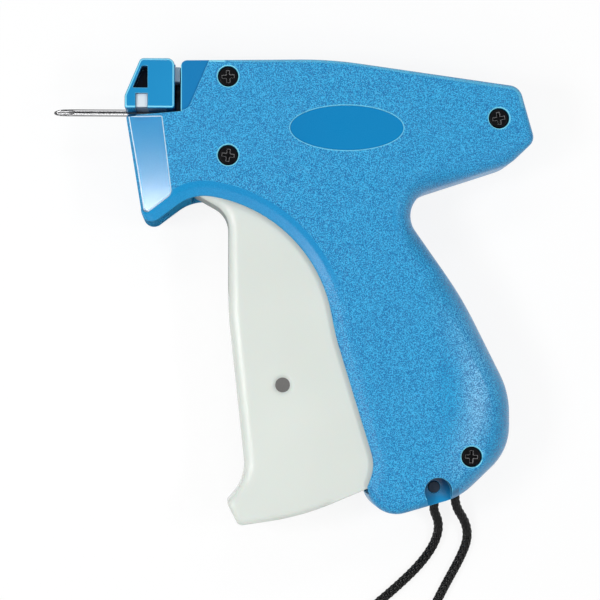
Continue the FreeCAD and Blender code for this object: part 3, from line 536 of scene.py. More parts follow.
# %% Groups: oval and slope zones
oval, given, out = new_group(
    "zone_oval",
    [
        ("Place", "Vector", None), ("Centre", "Vector", None),
        ("Half Length", "Float", 0.01), ("Half Height", "Float", 0.01), ("Softness", "Float", 0.02),
    ],
    [("Mask", "Float")],
)
parts = axes_in(oval, vector(oval, "SUBTRACT", {0: given["Place"], 1: given["Centre"]}))
across = calc(oval, "DIVIDE", parts["X"], given["Half Length"])
upward = calc(oval, "DIVIDE", parts["Y"], given["Half Height"])
reach = calc(oval, "ADD", product(oval, across, across), product(oval, upward, upward))
oval.links.new(ramp(oval, reach, 1.0, opposite(oval, given["Softness"])), out["Mask"])

slope, given, out = new_group(
    "zone_slope",
    [("Normal", "Vector", None), ("Flattest", "Float", 0.99), ("Steepest", "Float", 0.9)],
    [("Mask", "Float")],
)
flatness = calc(slope, "ABSOLUTE", axes_in(slope, given["Normal"])["Z"])
below = ramp(slope, flatness, given["Flattest"], calc(slope, "SUBTRACT", given["Flattest"], 0.004))
over = ramp(slope, flatness, given["Steepest"], calc(slope, "ADD", given["Steepest"], 0.01))
slope.links.new(product(slope, below, over), out["Mask"])


def in_oval(tree, place, centre, halves, soft=0.02):
    """Mask of an oval, which is its centre and half sides in millimetres."""
    return use(tree, oval, {
        "Place": place["Object"], "Centre": (centre[0] * MM, centre[1] * MM, 0.0),
        "Half Length": halves[0] * MM, "Half Height": halves[1] * MM, "Softness": soft,
    })["Mask"]


def in_disc(tree, place, centre, radius, soft):
    """Mask of a disc."""
    return in_oval(tree, place, centre, (radius, radius), soft)


def on_slope(tree, place, flattest, steepest):
    """Mask of the faces that lean between two slopes."""
    return use(tree, slope, {
        "Normal": place["Normal"], "Flattest": flattest, "Steepest": steepest,
    })["Mask"]


print("groups", oval.name, "and", slope.name)

# %% [markdown]
# ## Rolled-over edges
# The grip is crowned: its side rolls over towards the back across more than a centimetre, where
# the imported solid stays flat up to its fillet. The difference is under a millimetre and only the
# light shows it, so it is made by leaning the normal, more and more with distance from the middle
# of a circle, or towards the middle of one for the hollow of the waist.

# %% Group: rolled edge
roll, given, out = new_group(
    "rolled_edge",
    [
        ("Place", "Vector", None), ("Normal", "Vector", None), ("Centre", "Vector", None),
        ("Start", "Float", 0.02), ("Lean", "Float", 27.0), ("Mask", "Float", 1.0),
    ],
    [("Normal", "Vector")],
)
offset = vector(roll, "SUBTRACT", {0: given["Place"], 1: given["Centre"]})
offset = vector(roll, "MULTIPLY", {0: offset, 1: (1.0, 1.0, 0.0)})
distance = vector(roll, "LENGTH", {0: offset}, "Value")
past = product(roll, calc(roll, "SUBTRACT", distance, given["Start"]), given["Lean"])
sign = calc(roll, "SIGN", given["Lean"])
lean = product(roll, largest(roll, past, 0.0), given["Mask"], sign)
push = vector(roll, "SCALE", {0: vector(roll, "NORMALIZE", {0: offset}), "Scale": lean})
leaning = vector(roll, "ADD", {0: given["Normal"], 1: push})
roll.links.new(vector(roll, "NORMALIZE", {0: leaning}), out["Normal"])
print("group", roll.name, "has", len(roll.nodes), "nodes")

# %% [markdown]
# ## A material's frame
# Every material starts the same way: its Principled shader, and the coordinates of the mesh in
# metres, which stay with the piece when it moves.

# %% Start of a material
def new_material(name, **fixed):
    """A material, its shader with these fixed values, and the places on the mesh."""
    material = bpy.data.materials.new(name)
    material.use_nodes = True
    tree = material.node_tree
    shader = tree.nodes["Principled BSDF"]
    for key, value in fixed.items():
        shader.inputs[key.replace("_", " ")].default_value = value
    return material, tree, shader, put(tree, "TexCoord").outputs


def feed(tree, shader, **sockets):
    """Links results to the shader's inputs."""
    for key, value in sockets.items():
        tree.links.new(value, shader.inputs[key.replace("_", " ")])


def bump(tree, height, distance, normal, strength=1.0):
    """Normal that a height gives to a surface."""
    return put(tree, "Bump", {
        "Height": height, "Distance": distance, "Strength": strength, "Normal": normal,
    }).outputs["Normal"]


finishes = {}

# %% [markdown]
# ## Blue shells: smooth zones
# The shells are blue ABS. Grain covers their sides and dulls them. The lip round the trigger,
# the oval badge, the recessed head panel and the sloping panel on the nose are smooth. Separate
# materials on picked faces would meet in hard borders. So each zone is a mask with a soft edge,
# and the grain is what the masks leave over.

# %% Smooth zones of the shell
TOP_Z = cad_high.z
PANEL = (-84.0, -65.5, 20.0, 53.3)
PANEL_FLATTEST, PANEL_STEEPEST = 0.988, 0.955
LIP = (-78.0, 2.0, -64.0, 36.0)
HEAD_PANEL = (-67.0, -55.0, 53.5, 72.0)
RECESS = (8.0, 20.5, -68.0, -55.8)
BADGE = (-13.6, 49.2)
BADGE_HALF = (17.3, 6.85)
SMOOTHED = 0.94


def at_depth(tree, axes_of, clear, full):
    """0 at the first depth under the top face and 1 at the second, in millimetres."""
    return ramp(tree, axes_of["Z"], TOP_Z - clear * MM, TOP_Z - full * MM)


def shell_zones(tree, place, axes_of):
    """Masks of the shell's zones by name."""
    top_face = at_depth(tree, axes_of, 1.5, 1.0)
    sunk = at_depth(tree, axes_of, 0.4, 0.5)
    deep = at_depth(tree, axes_of, 0.35, 1.2)
    sloping = on_slope(tree, place, PANEL_FLATTEST, PANEL_STEEPEST)
    zones = {
        "top_face": top_face,
        "upper_half": ramp(tree, axes_of["Z"], 16 * MM, 20 * MM),
        "panel": product(tree, in_box(tree, place, PANEL, 0.2), sloping),
        "lip": product(tree, in_box(tree, place, LIP, 2.0), on_slope(tree, place, 0.998, 0.80)),
        "badge": product(tree, in_oval(tree, place, BADGE, BADGE_HALF), top_face),
        "head": product(tree, in_box(tree, place, HEAD_PANEL, 0.2), sunk),
        "recess": product(tree, in_box(tree, place, RECESS, 0.3), deep),
    }
    # the lip is smooth over the finger space, and grained down the grip
    arch = product(tree, zones["lip"], ramp(tree, axes_of["Y"], -8 * MM, 12 * MM, 0.0, 0.85))
    smooth = largest(tree, arch, zones["panel"], zones["recess"], zones["badge"], zones["head"])
    zones["grained"] = opposite(tree, product(tree, smooth, SMOOTHED))
    return zones


print("badge in mm:", 2 * BADGE_HALF[0], "by", 2 * BADGE_HALF[1])

# %% [markdown]
# ## Blue shells: painted rim highlights
# The edges of counterbores, slots, recesses and the badge are so narrow that they show as thin
# bright lines of light, which are painted on here as a lighter blue. The edge wear group would
# find them, but also every other edge of the shell. So the rims are picked by slope, height and
# the places where they are wanted.

# %% Rims of the shell
SCREWS = ((-49.6, 64.7), (-49.6, 40.8), (32.7, 52.3), (24.1, -50.4))
SCREW_ZONE = 3.5
RECESS_ARCH = (13.8, -60.4)
ARCH_ZONE = 4.5
FRONT_EDGES = (-66.0, -50.0, 40.0, 72.0)
TOP_EDGES = (-50.0, 60.0, 55.0, 80.0)
SLOT_EDGE = (-63.95, -63.6, 53.5, 70.5)
BADGE_RIM = 0.28


def shell_rims(tree, place, axes_of, zones):
    """Mask of the thin edges that get a painted highlight."""
    wanted = largest(
        tree,
        in_box(tree, place, FRONT_EDGES, 1.0),
        in_disc(tree, place, RECESS_ARCH, ARCH_ZONE, 0.03),
        *(in_disc(tree, place, screw, SCREW_ZONE, 0.05) for screw in SCREWS),
        in_box(tree, place, TOP_EDGES, 1.0, 0.3),
    )
    high_up = at_depth(tree, axes_of, 0.9, 0.7)
    rim = product(tree, on_slope(tree, place, 0.93, 0.45), high_up, wanted)
    wider = in_oval(tree, place, BADGE, [half + BADGE_RIM for half in BADGE_HALF])
    ring = calc(tree, "SUBTRACT", wider, in_oval(tree, place, BADGE, BADGE_HALF))
    ring = product(tree, largest(tree, ring, 0.0), zones["top_face"], 0.6)
    slot_edge = product(tree, in_box(tree, place, SLOT_EDGE, 0.05, 0.8), zones["head"])
    return largest(tree, rim, ring, slot_edge)


print("screws:", len(SCREWS))

# %% [markdown]
# ## Blue shells: handled grain and a painted sheen
# The palm polishes the back of the grip: the peaks of its grain are shinier, and the pits between
# them stay as they were. On a ring where the side rolls over the peaks are also painted paler, a
# painted highlight. It is made of the grain's own flecks, a broad box for the palm and two discs.

# %% Handled grain of the shell, with its painted sheen
BACK_CENTRE = (-7.6, -32.8)
PALM_SIDE = (10.0, 75.0, -76.0, 14.0)
SHEEN_RING_FROM, SHEEN_RING_TO = 35.0, 41.5


def shell_handling_and_painted_sheen(tree, place, zones, fleck):
    """How much the surface is handled, how shiny its peaks are, and how much painted sheen makes
    them paler.
    """
    polished = ramp(tree, fleck, 0.45, 0.75)
    palm_side = product(
        tree,
        in_box(tree, place, PALM_SIDE, 16.0),
        zones["upper_half"],
        opposite(tree, zones["recess"]),
    )
    handled = largest(tree, palm_side, product(tree, zones["lip"], 0.1))
    shine = product(tree, polished, handled, 0.20)
    ring = product(
        tree,
        opposite(tree, in_disc(tree, place, BACK_CENTRE, SHEEN_RING_FROM, 0.5)),
        in_disc(tree, place, BACK_CENTRE, SHEEN_RING_TO, 0.35),
    )
    # painted highlight: the peaks on the ring are drawn paler
    pale = product(tree, ring, palm_side, polished, 0.34)
    return handled, shine, pale


# the ring that holds the painted sheen
print("rubbed ring in mm from its centre:", SHEEN_RING_FROM, "to", SHEEN_RING_TO)

# %% [markdown]
# ## Blue shells: their light
# What the light sees is the normal. Edges get a small radius. The lip is one soft ridge, so its
# creases are rounded much more widely. The grip's back and the waist are rolled with the group
# for that, each round its own centre. The last step, the grain's bump, is added by the material.

# %% Normal of the shell
BACK = (8.0, 60.0, -64.0, 6.0)
BACK_START = 24.0
BACK_LEAN = 27.0
WAIST = (2.0, 60.0, -8.0, 52.0)
WAIST_CENTRE = (15.5, 21.3)
WAIST_START = 18.7
WAIST_LEAN = -60.0
LIP_ROUNDING = 0.9 * MM
SCREW_CLEARANCE = 4.5


def shell_normal(tree, place, zones, edge_normal):
    """Normal of the shell without its grain."""
    soft = use(tree, edges, {"Radius": LIP_ROUNDING, "Amount": 0.0})["Normal"]
    normal = mixed(tree, zones["lip"], edge_normal, soft, "VECTOR")
    beside_screw = opposite(tree, in_disc(tree, place, SCREWS[3], SCREW_CLEARANCE, 0.4))
    back = product(tree, in_box(tree, place, BACK, 4.0), zones["upper_half"], beside_screw)
    waist = product(tree, in_box(tree, place, WAIST, 4.0), zones["upper_half"])
    for (x, y), start, lean, mask in (
        (BACK_CENTRE, BACK_START, BACK_LEAN, back),
        (WAIST_CENTRE, WAIST_START, WAIST_LEAN, waist),
    ):
        normal = use(tree, roll, {
            "Place": place["Object"], "Normal": normal, "Centre": (x * MM, y * MM, 0.0),
            "Start": start * MM, "Lean": lean, "Mask": mask,
        })["Normal"]
    return normal


print("the back begins to roll", BACK_START, "mm from its centre")

# %% [markdown]
# ## Blue shells: the material
# The colour is built in layers, as a painter would: the plastic's own blue, painted shade in the
# grain's pits and painted glints on its peaks, painted shade that deepens the blue of the smooth
# zones, painted shadow in the recess, lighter rims and edges on top that are painted highlights
# with some wear, and a painted sheen on the back of the grip. Only the panel on the nose has a
# coat, because its mould was polished.

# %% Blue shells
BLUE = linear(0, 133, 192)
BLUE_LIGHT = linear(2, 140, 198)
BLUE_PAINTED_SHADE = linear(0, 96, 158)
BLUE_PAINTED_DEEP_SHADE = linear(0, 52, 92)
BLUE_PAINTED_GLINT = linear(70, 190, 236)
BLUE_EDGE_HIGHLIGHT_AND_WEAR = linear(130, 226, 250)
BLUE_PAINTED_SHEEN = linear(150, 214, 246)
GRAIN_DEPTH = 0.17 * MM


def blue_shell():
    """Grained blue plastic with its smooth zones, painted shade and painted highlights."""
    material, tree, shader, place = new_material(
        "blue_shell", IOR=1.5, Specular_IOR_Level=0.38, Coat_Roughness=0.12, Coat_IOR=1.5
    )
    axes_of = axes_in(tree, place["Object"])
    zones = shell_zones(tree, place, axes_of)
    rims = shell_rims(tree, place, axes_of, zones)
    texture = use(tree, grain, {"Place": place["Object"], "Grain Size": GRAIN_SIZE})
    wear_and_highlight = use(tree, edges, {"Radius": 0.22 * MM, "Amount": 0.7})
    tone = toned(tree, place, BLUE, BLUE_LIGHT, 0.32, 0.06)
    handled, shine, pale = shell_handling_and_painted_sheen(tree, place, zones, texture["Fleck"])

    # the grain's flecks: painted shade in its pits and painted glints on its peaks
    pit_painted_shade = ramp(tree, texture["Fleck"], 0.5, 0.0, 0.0, 0.75)
    peak_painted_glint = ramp(tree, texture["Fleck"], 0.55, 1.0, 0.0, 0.6)
    recess_shadow_share = ramp(tree, axes_of["Y"], -64.5 * MM, -57.0 * MM, 0.15, 1.0)
    colour = tone["Color"]
    for share, layer in (
        (product(tree, zones["grained"], pit_painted_shade), BLUE_PAINTED_SHADE),
        (product(tree, zones["grained"], peak_painted_glint), BLUE_PAINTED_GLINT),
        # painted shade: the smooth badge and the recessed head panel are drawn a deeper blue
        (product(tree, zones["badge"], 0.35), BLUE_PAINTED_SHADE),
        (product(tree, zones["head"], 0.55), BLUE_PAINTED_SHADE),
        # painted shadow in the lanyard recess, strongest towards its top
        (product(tree, zones["recess"], recess_shadow_share), BLUE_PAINTED_DEEP_SHADE),
        # painted highlights on the rims; on the other edges partly wear and partly painted
        # highlight
        (largest(tree, wear_and_highlight["Wear"], rims), BLUE_EDGE_HIGHLIGHT_AND_WEAR),
        # painted highlight: paler peaks on the ring where the grip rolls over
        (pale, BLUE_PAINTED_SHEEN),
    ):
        colour = mixed(tree, share, colour, layer)

    roughness = tone["Roughness"]
    for gloss in (product(tree, zones["panel"], 0.15), product(tree, zones["badge"], 0.06), shine):
        roughness = calc(tree, "SUBTRACT", roughness, gloss)
    unworn = opposite(tree, product(tree, handled, 0.6))
    height = product(tree, texture["Height"], zones["grained"], unworn)
    normal = shell_normal(tree, place, zones, wear_and_highlight["Normal"])
    feed(tree, shader, Base_Color=colour, Roughness=roughness, Coat_Weight=zones["panel"],
         Normal=bump(tree, height, GRAIN_DEPTH, normal))
    return material


finishes["body_plastic"] = blue_shell()
print("blue shells:", len(finishes["body_plastic"].node_tree.nodes), "nodes")

# %% [markdown]
# ## Glossy head cap
# The cap over the needle comes out of a polished mould in the same blue. It has no grain, only a
# faint waviness that bends its reflections. Little light gets down into its pocket and window, so
# shade is painted into the colour with depth there, and painted highlights make its top edges
# bright lines.

# %% Glossy head cap
WAVES_PER_METRE = 260.0
WAVE_HEIGHT = 0.02 * MM
POCKET = (-82.0, -72.0, 56.0, 70.3)


def wavy(tree, place, normal, height=WAVE_HEIGHT):
    """Normal with the slight waviness of a moulding."""
    return bump(tree, noise(tree, place["Object"], WAVES_PER_METRE, 1.0), height, normal, 0.6)


def blue_cap():
    """The shells' blue in gloss, with painted highlights on its rims and painted shade in the
    pocket and the window.
    """
    material, tree, shader, place = new_material("blue_cap", IOR=1.5, Coat_Weight=0.2)
    axes_of = axes_in(tree, place["Object"])
    tone = toned(tree, place, linear(24, 134, 190), linear(30, 142, 198), 0.2, 0.03)
    # the cap's outer slanted side faces left, and the pocket's slanted side faces right
    faces_left = ramp(tree, axes_in(tree, place["Normal"])["X"], -0.05, -0.2)
    outer_slant = product(tree, faces_left, ramp(tree, axes_of["X"], -75.5 * MM, -76.0 * MM))
    # painted shade: darker with depth in the pocket and the window
    deep = product(
        tree,
        at_depth(tree, axes_of, 1.0, 4.5),
        in_box(tree, place, POCKET, 0.3),
        opposite(tree, outer_slant),
    )
    # painted highlight on the top edges
    rim = product(tree, on_slope(tree, place, 0.95, 0.60), at_depth(tree, axes_of, 1.1, 0.9))
    wear_and_highlight = use(tree, edges, {"Radius": 0.3 * MM, "Amount": 0.9})
    light = product(tree, largest(tree, wear_and_highlight["Wear"], rim), 0.8)
    colour = mixed(tree, light, mixed(tree, deep, tone["Color"], BLUE_PAINTED_DEEP_SHADE), BLUE_EDGE_HIGHLIGHT_AND_WEAR)
    feed(tree, shader, Base_Color=colour, Roughness=tone["Roughness"],
         Normal=wavy(tree, place, wear_and_highlight["Normal"]))
    return material


finishes["gloss_plastic"] = blue_cap()
print("cap:", len(finishes["gloss_plastic"].node_tree.nodes), "nodes")

# %% [markdown]
# ## Smooth moulded plastics
# The trigger, the needle's seat, the clip guide and the inner plastic parts are smooth mouldings
# that differ in colour and shine only, so one function makes them all. The trigger lets a little
# light in, as white plastic does. Its front edge is rounder than its others, for the fingers, so
# it gets a wide Bevel on that side.

# %% Smooth plastics
TRIGGER_FRONT = (0.31, -36 * MM, 3.4 * MM)
ROUND_SIDE_FADE = 3 * MM


def moulded(name, darker, lighter, wear_and_highlight_colour, roughness, spread=0.05, wave=WAVE_HEIGHT,
            wear=0.6, round_side=None, **fixed):
    """Smooth moulded plastic with edges drawn lighter, partly wear and partly painted highlight. A
    round side has a lean, a limit and a radius.
    """
    material, tree, shader, place = new_material(name, **fixed)
    tone = toned(tree, place, darker, lighter, roughness, spread)
    wear_and_highlight = use(tree, edges, {"Radius": 0.2 * MM, "Amount": wear})
    normal = wear_and_highlight["Normal"]
    if round_side:
        leaning, limit, radius = round_side
        axes_of = axes_in(tree, place["Object"])
        across = calc(tree, "ADD", axes_of["X"], product(tree, axes_of["Y"], leaning))
        wide = use(tree, edges, {"Radius": radius, "Amount": 0.0})["Normal"]
        on_side = ramp(tree, across, limit, limit - ROUND_SIDE_FADE)
        normal = mixed(tree, on_side, normal, wide, "VECTOR")
    feed(tree, shader, Base_Color=mixed(tree, wear_and_highlight["Wear"], tone["Color"], wear_and_highlight_colour),
         Roughness=tone["Roughness"], Normal=wavy(tree, place, normal, wave))
    return material


finishes["trigger_plastic"] = moulded(
    "white_trigger", linear(211, 217, 211), linear(216, 222, 216), linear(240, 243, 240), 0.25,
    spread=0.0, wave=0.0, wear=0.0, round_side=TRIGGER_FRONT,
    IOR=1.5, Subsurface_Weight=0.08, Subsurface_Scale=0.002,
)
finishes["white_plastic"] = moulded(
    "white_nylon", linear(206, 216, 222), linear(216, 225, 230), linear(235, 240, 243), 0.35
)
finishes["pale_plastic"] = moulded(
    "pale_nylon", linear(196, 204, 208), linear(206, 214, 218), linear(225, 230, 233), 0.4
)
finishes["dark_plastic"] = moulded(
    "black_nylon", linear(10, 11, 14), linear(16, 17, 20), linear(60, 64, 70), 0.42
)
print("plastics:", [material.name for material in finishes.values()])

# %% [markdown]
# ## Steels
# Bright steel parts differ in how they were made. The needle and rod are drawn and polished
# along their length, the pins are turned, the lever is pressed from sheet, and the springs are
# drawn wire. Stretching a noise along one axis gives the fine lines of each.

# %% Steel finishes
LINES_PER_METRE = 900.0
LINE_DEPTH = 0.004 * MM
STEELS = {
    "needle_steel": ((232, 232, 234), 0.08, (0.06, 1.0, 1.0)),
    "lever_steel": ((170, 172, 174), 0.34, (0.3, 1.0, 1.0)),
    "pin_steel": ((138, 137, 135), 0.42, (1.0, 1.0, 0.15)),
    "spring_steel": ((120, 121, 124), 0.3, (1.0, 1.0, 1.0)),
    "lanyard_steel": ((58, 68, 82), 0.42, (1.0, 1.0, 0.15)),
}


def steel(name, colour, roughness, stretch):
    """Metal with fine lines. The noise is squeezed least along the direction of the lines."""
    material, tree, shader, place = new_material(name, Metallic=1.0)
    where = put(tree, "Mapping", {"Vector": place["Object"], "Scale": stretch}).outputs["Vector"]
    lines = noise(tree, where, LINES_PER_METRE, 3.0)
    wear_and_highlight = use(tree, edges, {"Radius": 0.1 * MM, "Amount": 0.5})
    dull = tuple(c * 0.72 for c in colour[:3]) + (1.0,)
    bright = tuple(min(c * 1.5 + 0.05, 1.0) for c in colour[:3]) + (1.0,)
    tone = toned(tree, place, dull, colour, roughness, 0.12)
    streaked = mixed(tree, ramp(tree, lines, 0.35, 0.65, 0.0, 0.35), tone["Color"], dull)
    rough = calc(tree, "ADD", tone["Roughness"], product(tree, lines, 0.12))
    # edges drawn brighter than the steel: partly wear, partly a painted highlight
    feed(tree, shader, Base_Color=mixed(tree, wear_and_highlight["Wear"], streaked, bright), Roughness=rough,
         Normal=bump(tree, lines, LINE_DEPTH, wear_and_highlight["Normal"], 0.5))
    return material


for name, (colour, roughness, stretch) in STEELS.items():
    finishes[name] = steel(name, linear(*colour), roughness, stretch)
print("steels:", list(STEELS))

# %% [markdown]
# ## Black screws
# The housing screws are black-oxide steel: nearly black, oily, a little brown, and light grey along
# the edges of the cross and the head, partly bare steel where the driver has been, partly a
# painted highlight. The oxide is a dull skin, so it is drawn as a plain dark surface, not as bare
# metal.

# %% Black screws
OXIDE_GRAIN = 0.25 * MM
EDGE_GREY_WEAR_AND_HIGHLIGHT = linear(190, 190, 192)


def black_oxide():
    """Dull black skin on steel, with grey edges."""
    material, tree, shader, place = new_material("black_oxide", Specular_IOR_Level=0.14)
    tone = toned(tree, place, linear(3, 3, 5), linear(10, 11, 13), 0.34, 0.1)
    pits = use(tree, grain, {"Place": place["Object"], "Grain Size": OXIDE_GRAIN})["Height"]
    wear_and_highlight = use(tree, edges, {"Radius": 0.2 * MM, "Amount": 1.0})
    feed(tree, shader, Base_Color=mixed(tree, wear_and_highlight["Wear"], tone["Color"], EDGE_GREY_WEAR_AND_HIGHLIGHT),
         Roughness=tone["Roughness"], Normal=bump(tree, pits, 0.03 * MM, wear_and_highlight["Normal"], 0.6))
    return material


finishes["black_screws"] = black_oxide()
print("screws:", len(finishes["black_screws"].node_tree.nodes), "nodes")

# %% [markdown]
# ## Cord yarn
# The braid's shape is in its mesh. What is left is the yarn itself: black nylon with many fine
# filaments, a little shiny. A fine noise paints a faint sheen on some filaments, and its bump
# roughens the light.

# %% Cord yarn
FILAMENTS_PER_METRE = 3800.0


def yarn():
    """Black nylon yarn."""
    material, tree, shader, place = new_material("black_yarn", Specular_IOR_Level=0.22)
    fibres = noise(tree, place["Object"], FILAMENTS_PER_METRE, 3.0)
    tone = toned(tree, place, linear(1, 1, 1), linear(4, 4, 5), 0.24, 0.15)
    painted_filament_sheen = ramp(tree, fibres, 0.5, 0.72, 0.0, 0.12)
    colour = mixed(tree, painted_filament_sheen, tone["Color"], linear(50, 50, 52))
    normal = put(tree, "NewGeometry").outputs["Normal"]
    feed(tree, shader, Base_Color=colour, Roughness=tone["Roughness"],
         Normal=bump(tree, fibres, 0.03 * MM, normal, 0.5))
    return material


finishes["black_cord"] = yarn()
print("finishes made:", len(finishes))

# %% [markdown]
# ## Needle seat and head cap
# The tower of the white seat reaches to just under the window, and the cap's pocket is clear of
# the two peg posts beside it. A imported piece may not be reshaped, but a copy may, and the copy
# then stands for it. Moving a few of its points keeps the smooth shading of the rest, which a cut
# with another solid would spoil.

# %% Reshaped copies
TOWER_TOP = 24.0 * MM
TOWER_RISE = 2.9 * MM
POCKET_RIGHT = -73.9
POCKET_LOW, POCKET_HIGH, POCKET_FLOOR = 60.5, 67.75, 19.2
slot_of = {part["node"]: part["material_slot"] for part in frame["record"]["subparts"]}


def copy_of(node, name):
    """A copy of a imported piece, which stands for it."""
    piece = link_piece(name, nodes[node].data.copy())
    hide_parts(node)
    return piece


seat = copy_of("needle_holder", "needle_seat")
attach(seat, "housing")
for vertex in seat.data.vertices:
    if vertex.co.z > TOWER_TOP - 0.1 * MM:
        vertex.co.z += TOWER_RISE

cap = copy_of("head_block", "head_cap")
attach(cap, "housing")
for vertex in cap.data.vertices:
    x, y, z = (c / MM for c in vertex.co)
    if POCKET_RIGHT - 1.0 < x < POCKET_RIGHT and POCKET_LOW < y < POCKET_HIGH and z > POCKET_FLOOR:
        vertex.co.x = (POCKET_RIGHT + 0.02) * MM
print("cap faces:", len(cap.data.polygons))

# %% [markdown]
# ## Feed leaf
# The leaf that brings the feed pawl back is thin spring steel. Its foot stays on the housing and
# its tip leans on the pawl. Here it is a copy of the imported spring with its place baked into its
# points, and nothing makes it bend. A rigid leaf would cut through the pawl when the trigger is
# pulled.

leaf = copy_of("feed_spring", "feed_leaf")
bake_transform(leaf)
print("leaf points:", len(leaf.data.vertices))

# %% [markdown]
# ## Bead round the panel: its outline
# A thin bead is moulded round the polished panel on the nose. Typed points would drift off the
# panel when the shell changes, so the bead follows the panel's own outline. Its faces are picked
# by place and slope, and the edges that belong to one picked face only are the outline.

# %% Outline of the panel
def outline_of(mesh, picked):
    """Points in order round a patch of faces."""
    used = {}
    for face in picked:
        for edge in face.edge_keys:
            used[edge] = used.get(edge, 0) + 1
    after = {}
    for (a, b), count in used.items():
        if count == 1:
            after.setdefault(a, []).append(b)
            after.setdefault(b, []).append(a)
    start = next(iter(after))
    loop, last, here = [start], None, start
    while True:
        step = [v for v in after[here] if v != last]
        last, here = here, step[0]
        if here == start:
            return [mesh.vertices[v].co.copy() for v in loop]
        loop.append(here)


left, right, low, high = (side * MM for side in PANEL)
shell = nodes["left_shell"].data
panel_faces = [
    face for face in shell.polygons
    if PANEL_STEEPEST < face.normal.z < PANEL_FLATTEST and left < face.center.x < right
    and low < face.center.y < high and face.center.z > 20 * MM
]
biggest = max(panel_faces, key=lambda face: face.area)
panel_faces = [face for face in panel_faces if face.normal.dot(biggest.normal) > 0.9995]
panel_outline = outline_of(shell, panel_faces)
print("panel outline points:", len(panel_outline))

# %% [markdown]
# ## Bead round the panel: its ring
# A painted line would have no light on it. The bead is a real ring of small radius, half sunk in
# the panel, so it catches the light from its own side all the way round. Its near-white colour,
# far lighter than the shell's blue, adds a painted highlight.

# %% Bead round the panel
BEAD_RADIUS = 0.17 * MM
BEAD_SIDES = 8
BEAD_INSET = 0.22 * MM


def bead(name, loop, normal):
    """Thin closed ring laid inside an outline on a sloping face."""
    middle = sum(loop, Vector()) / len(loop)
    builder = bmesh.new()
    rings = []
    for i, point in enumerate(loop):
        along = (loop[(i + 1) % len(loop)] - loop[i - 1]).normalized()
        inward = normal.cross(along)
        if inward.dot(middle - point) < 0:
            inward = -inward
        centre = point + inward * BEAD_INSET
        ring = []
        for k in range(BEAD_SIDES):
            angle = 2 * math.pi * k / BEAD_SIDES
            outward = inward * math.cos(angle) + normal * math.sin(angle)
            ring.append(builder.verts.new(centre + outward * BEAD_RADIUS))
        rings.append(ring)
    for i, ring in enumerate(rings):
        for k in range(BEAD_SIDES):
            builder.faces.new((rings[i - 1][k - 1], rings[i - 1][k], ring[k], ring[k - 1]))
    return smooth_piece(name, builder)


panel_bead = bead("panel_bead", panel_outline, biggest.normal)
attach(panel_bead, "housing")
print("bead faces:", len(panel_bead.data.polygons))

# %% [markdown]
# ## Finishes onto pieces
# The imported record says which finish each piece has. So one loop dresses them all, and nothing
# is forgotten. The pieces made in this lesson come after, and the bead gets a paler plastic, a
# painted highlight.

# %% Dress every piece
def dress(piece, slot):
    """Gives a piece one finish."""
    piece.data.materials.clear()
    piece.data.materials.append(finishes[slot])


for name, piece in nodes.items():
    dress(piece, slot_of[name])
dress(cord, "black_cord")
dress(seat, "white_plastic")
dress(cap, "gloss_plastic")
dress(leaf, "spring_steel")
# the bead's light colour is a painted highlight
panel_bead.data.materials.append(moulded(
    "bead_painted_highlight", linear(214, 236, 248), linear(224, 242, 251), linear(240, 248, 255), 0.25
))
print("dressed", len(nodes), "nodes in", len(set(slot_of.values())), "finishes")

# %% [markdown]
# ## Table
# The table is white and plain. A pale shader alone would turn grey away from the lamps, and more
# light would wash out the tool. So whatever the camera or a mirror sees of the table is mixed
# with a plain white glow, which leaves a trace of the tool's shadow.

# %% Table
TABLE_GLOW = 0.86
PALE = (0.9, 0.9, 0.9, 1)


def seen_directly(tree, path):
    """1 for what the camera sees, by itself or through glass."""
    return largest(tree, path["Is Camera Ray"], path["Is Transmission Ray"])


def white_table():
    """Pale matt table that shows white."""
    material, tree, shader, _ = new_material("white_table", Base_Color=PALE, Roughness=0.7)
    glow = put(tree, "Emission", {"Color": (1, 1, 1, 1), "Strength": 1.0})
    path = put(tree, "LightPath").outputs
    seen = largest(tree, seen_directly(tree, path), path["Is Glossy Ray"])
    mix = put(tree, "MixShader", {0: product(tree, seen, TABLE_GLOW)})
    tree.links.new(shader.outputs[0], mix.inputs[1])
    tree.links.new(glow.outputs[0], mix.inputs[2])
    tree.links.new(mix.outputs[0], tree.nodes["Material Output"].inputs["Surface"])
    return material


bpy.ops.mesh.primitive_plane_add(size=6.0)
table = bpy.context.object
table.name = "table"
table.data.materials.append(white_table())
print("table is", table.dimensions.x, "m wide")

# %% [markdown]
# ## Lamps
# Nine soft boxes hang in a ring half a metre up, all weak. A face that lies flat mirrors none of
# them and keeps its own colour, and every rounded edge finds one of them somewhere. The boxes on
# the left and on the right are the strong ones: the first lights the panel on the nose and the
# trigger's front, the second the back of the grip.

# %% Lamps
MIDDLE = Vector((-0.02, 0.0, 0.014))
LAMP_HEIGHT = 0.50
SOFT_BOXES = {
    "left_box": ((-0.35, -0.012), (0.10, 0.16), 1.1),
    "grip_box": ((-0.34, -0.145), (0.11, 0.12), 0.50),
    "right_box": ((0.34, -0.03), (0.22, 0.08), 0.75),
    "top_box": ((-0.02, 0.42), (0.30, 0.12), 0.55),
    "foot_box": ((-0.02, -0.46), (0.30, 0.12), 0.45),
    "near_left_box": ((-0.25, 0.31), (0.10, 0.10), 0.2),
    "near_right_box": ((0.25, 0.28), (0.10, 0.10), 0.2),
    "far_right_box": ((0.27, -0.24), (0.10, 0.10), 0.2),
    "far_left_box": ((-0.25, -0.34), (0.10, 0.10), 0.2),
}


def soft_box(name, place, size, power):
    """Rectangular lamp that faces the middle of the tool."""
    data = bpy.data.lights.new(name, "AREA")
    data.shape = "RECTANGLE"
    data.size, data.size_y = size
    data.energy = power
    lamp = bpy.data.objects.new(name, data)
    lamp.location = (*place, LAMP_HEIGHT)
    lamp.rotation_euler = (MIDDLE - lamp.location).to_track_quat("-Z", "Y").to_euler()
    bpy.context.scene.collection.objects.link(lamp)


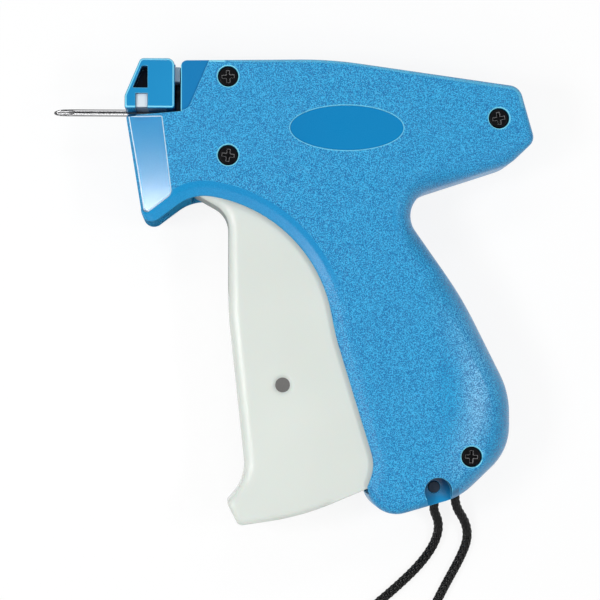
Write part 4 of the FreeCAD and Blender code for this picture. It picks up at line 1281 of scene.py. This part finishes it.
for name, settings in SOFT_BOXES.items():
    soft_box(name, *settings)
print("lamps:", len(SOFT_BOXES), "of", sorted({power for *_, power in SOFT_BOXES.values()}), "W")

# %% [markdown]
# ## Black cards
# Polished steel and a glossy underside on a white table would mirror only white and lose their
# shape. A photographer lays black cards beside them. Here two cards lie on the table under the
# needle and the nose, and only reflections see them.

# %% Black cards
CARDS = {"needle_card": (-116, -81, 15, 95), "nose_card": (-81, -44, 0, 34)}
CARD_HEIGHT = 0.4 * MM

NEARLY_BLACK = (0.004, 0.004, 0.004, 1)
black_felt = new_material("black_felt", Base_Color=NEARLY_BLACK, Specular_IOR_Level=0.0)[0]


def black_card(name, left, right, low, high):
    """Card on the table between four sides in millimetres."""
    mesh = bpy.data.meshes.new(name)
    corners = ((left, low), (right, low), (right, high), (left, high))
    mesh.from_pydata([(x * MM, y * MM, CARD_HEIGHT) for x, y in corners], [], [(0, 1, 2, 3)])
    mesh.materials.append(black_felt)
    card = link_piece(name, mesh)
    for kind in ("camera", "diffuse", "shadow", "transmission"):
        setattr(card, "visible_" + kind, False)


for name, box in CARDS.items():
    black_card(name, *box)
print("cards:", list(CARDS))

# %% [markdown]
# ## World
# The world fills the shadows with even light. For reflections it is a white tent that is bright
# near the horizon and dark overhead, so that flat faces stay clear of haze. The camera sees it as
# plain white.

# %% World
FILL = 0.25
TENT_DARK, TENT_BRIGHT = 0.10, 0.95

world = bpy.data.worlds.new("studio")
world.use_nodes = True
sky = world.node_tree
background = sky.nodes["Background"]
path = put(sky, "LightPath").outputs
upward = axes_in(sky, put(sky, "TexCoord").outputs["Generated"])["Z"]
tent = ramp(sky, upward, 0.80, 0.30, TENT_DARK, TENT_BRIGHT)
strength = FILL
for share, other in ((path["Is Glossy Ray"], tent), (seen_directly(sky, path), 1.0)):
    inputs = {"Factor": share, "A": strength, "B": other}
    strength = put(sky, "Mix", inputs, data_type="FLOAT").outputs[0]
background.inputs["Color"].default_value = (1.0, 1.0, 1.0, 1.0)
sky.links.new(strength, background.inputs["Strength"])
bpy.context.scene.world = world
print("world nodes:", len(sky.nodes))
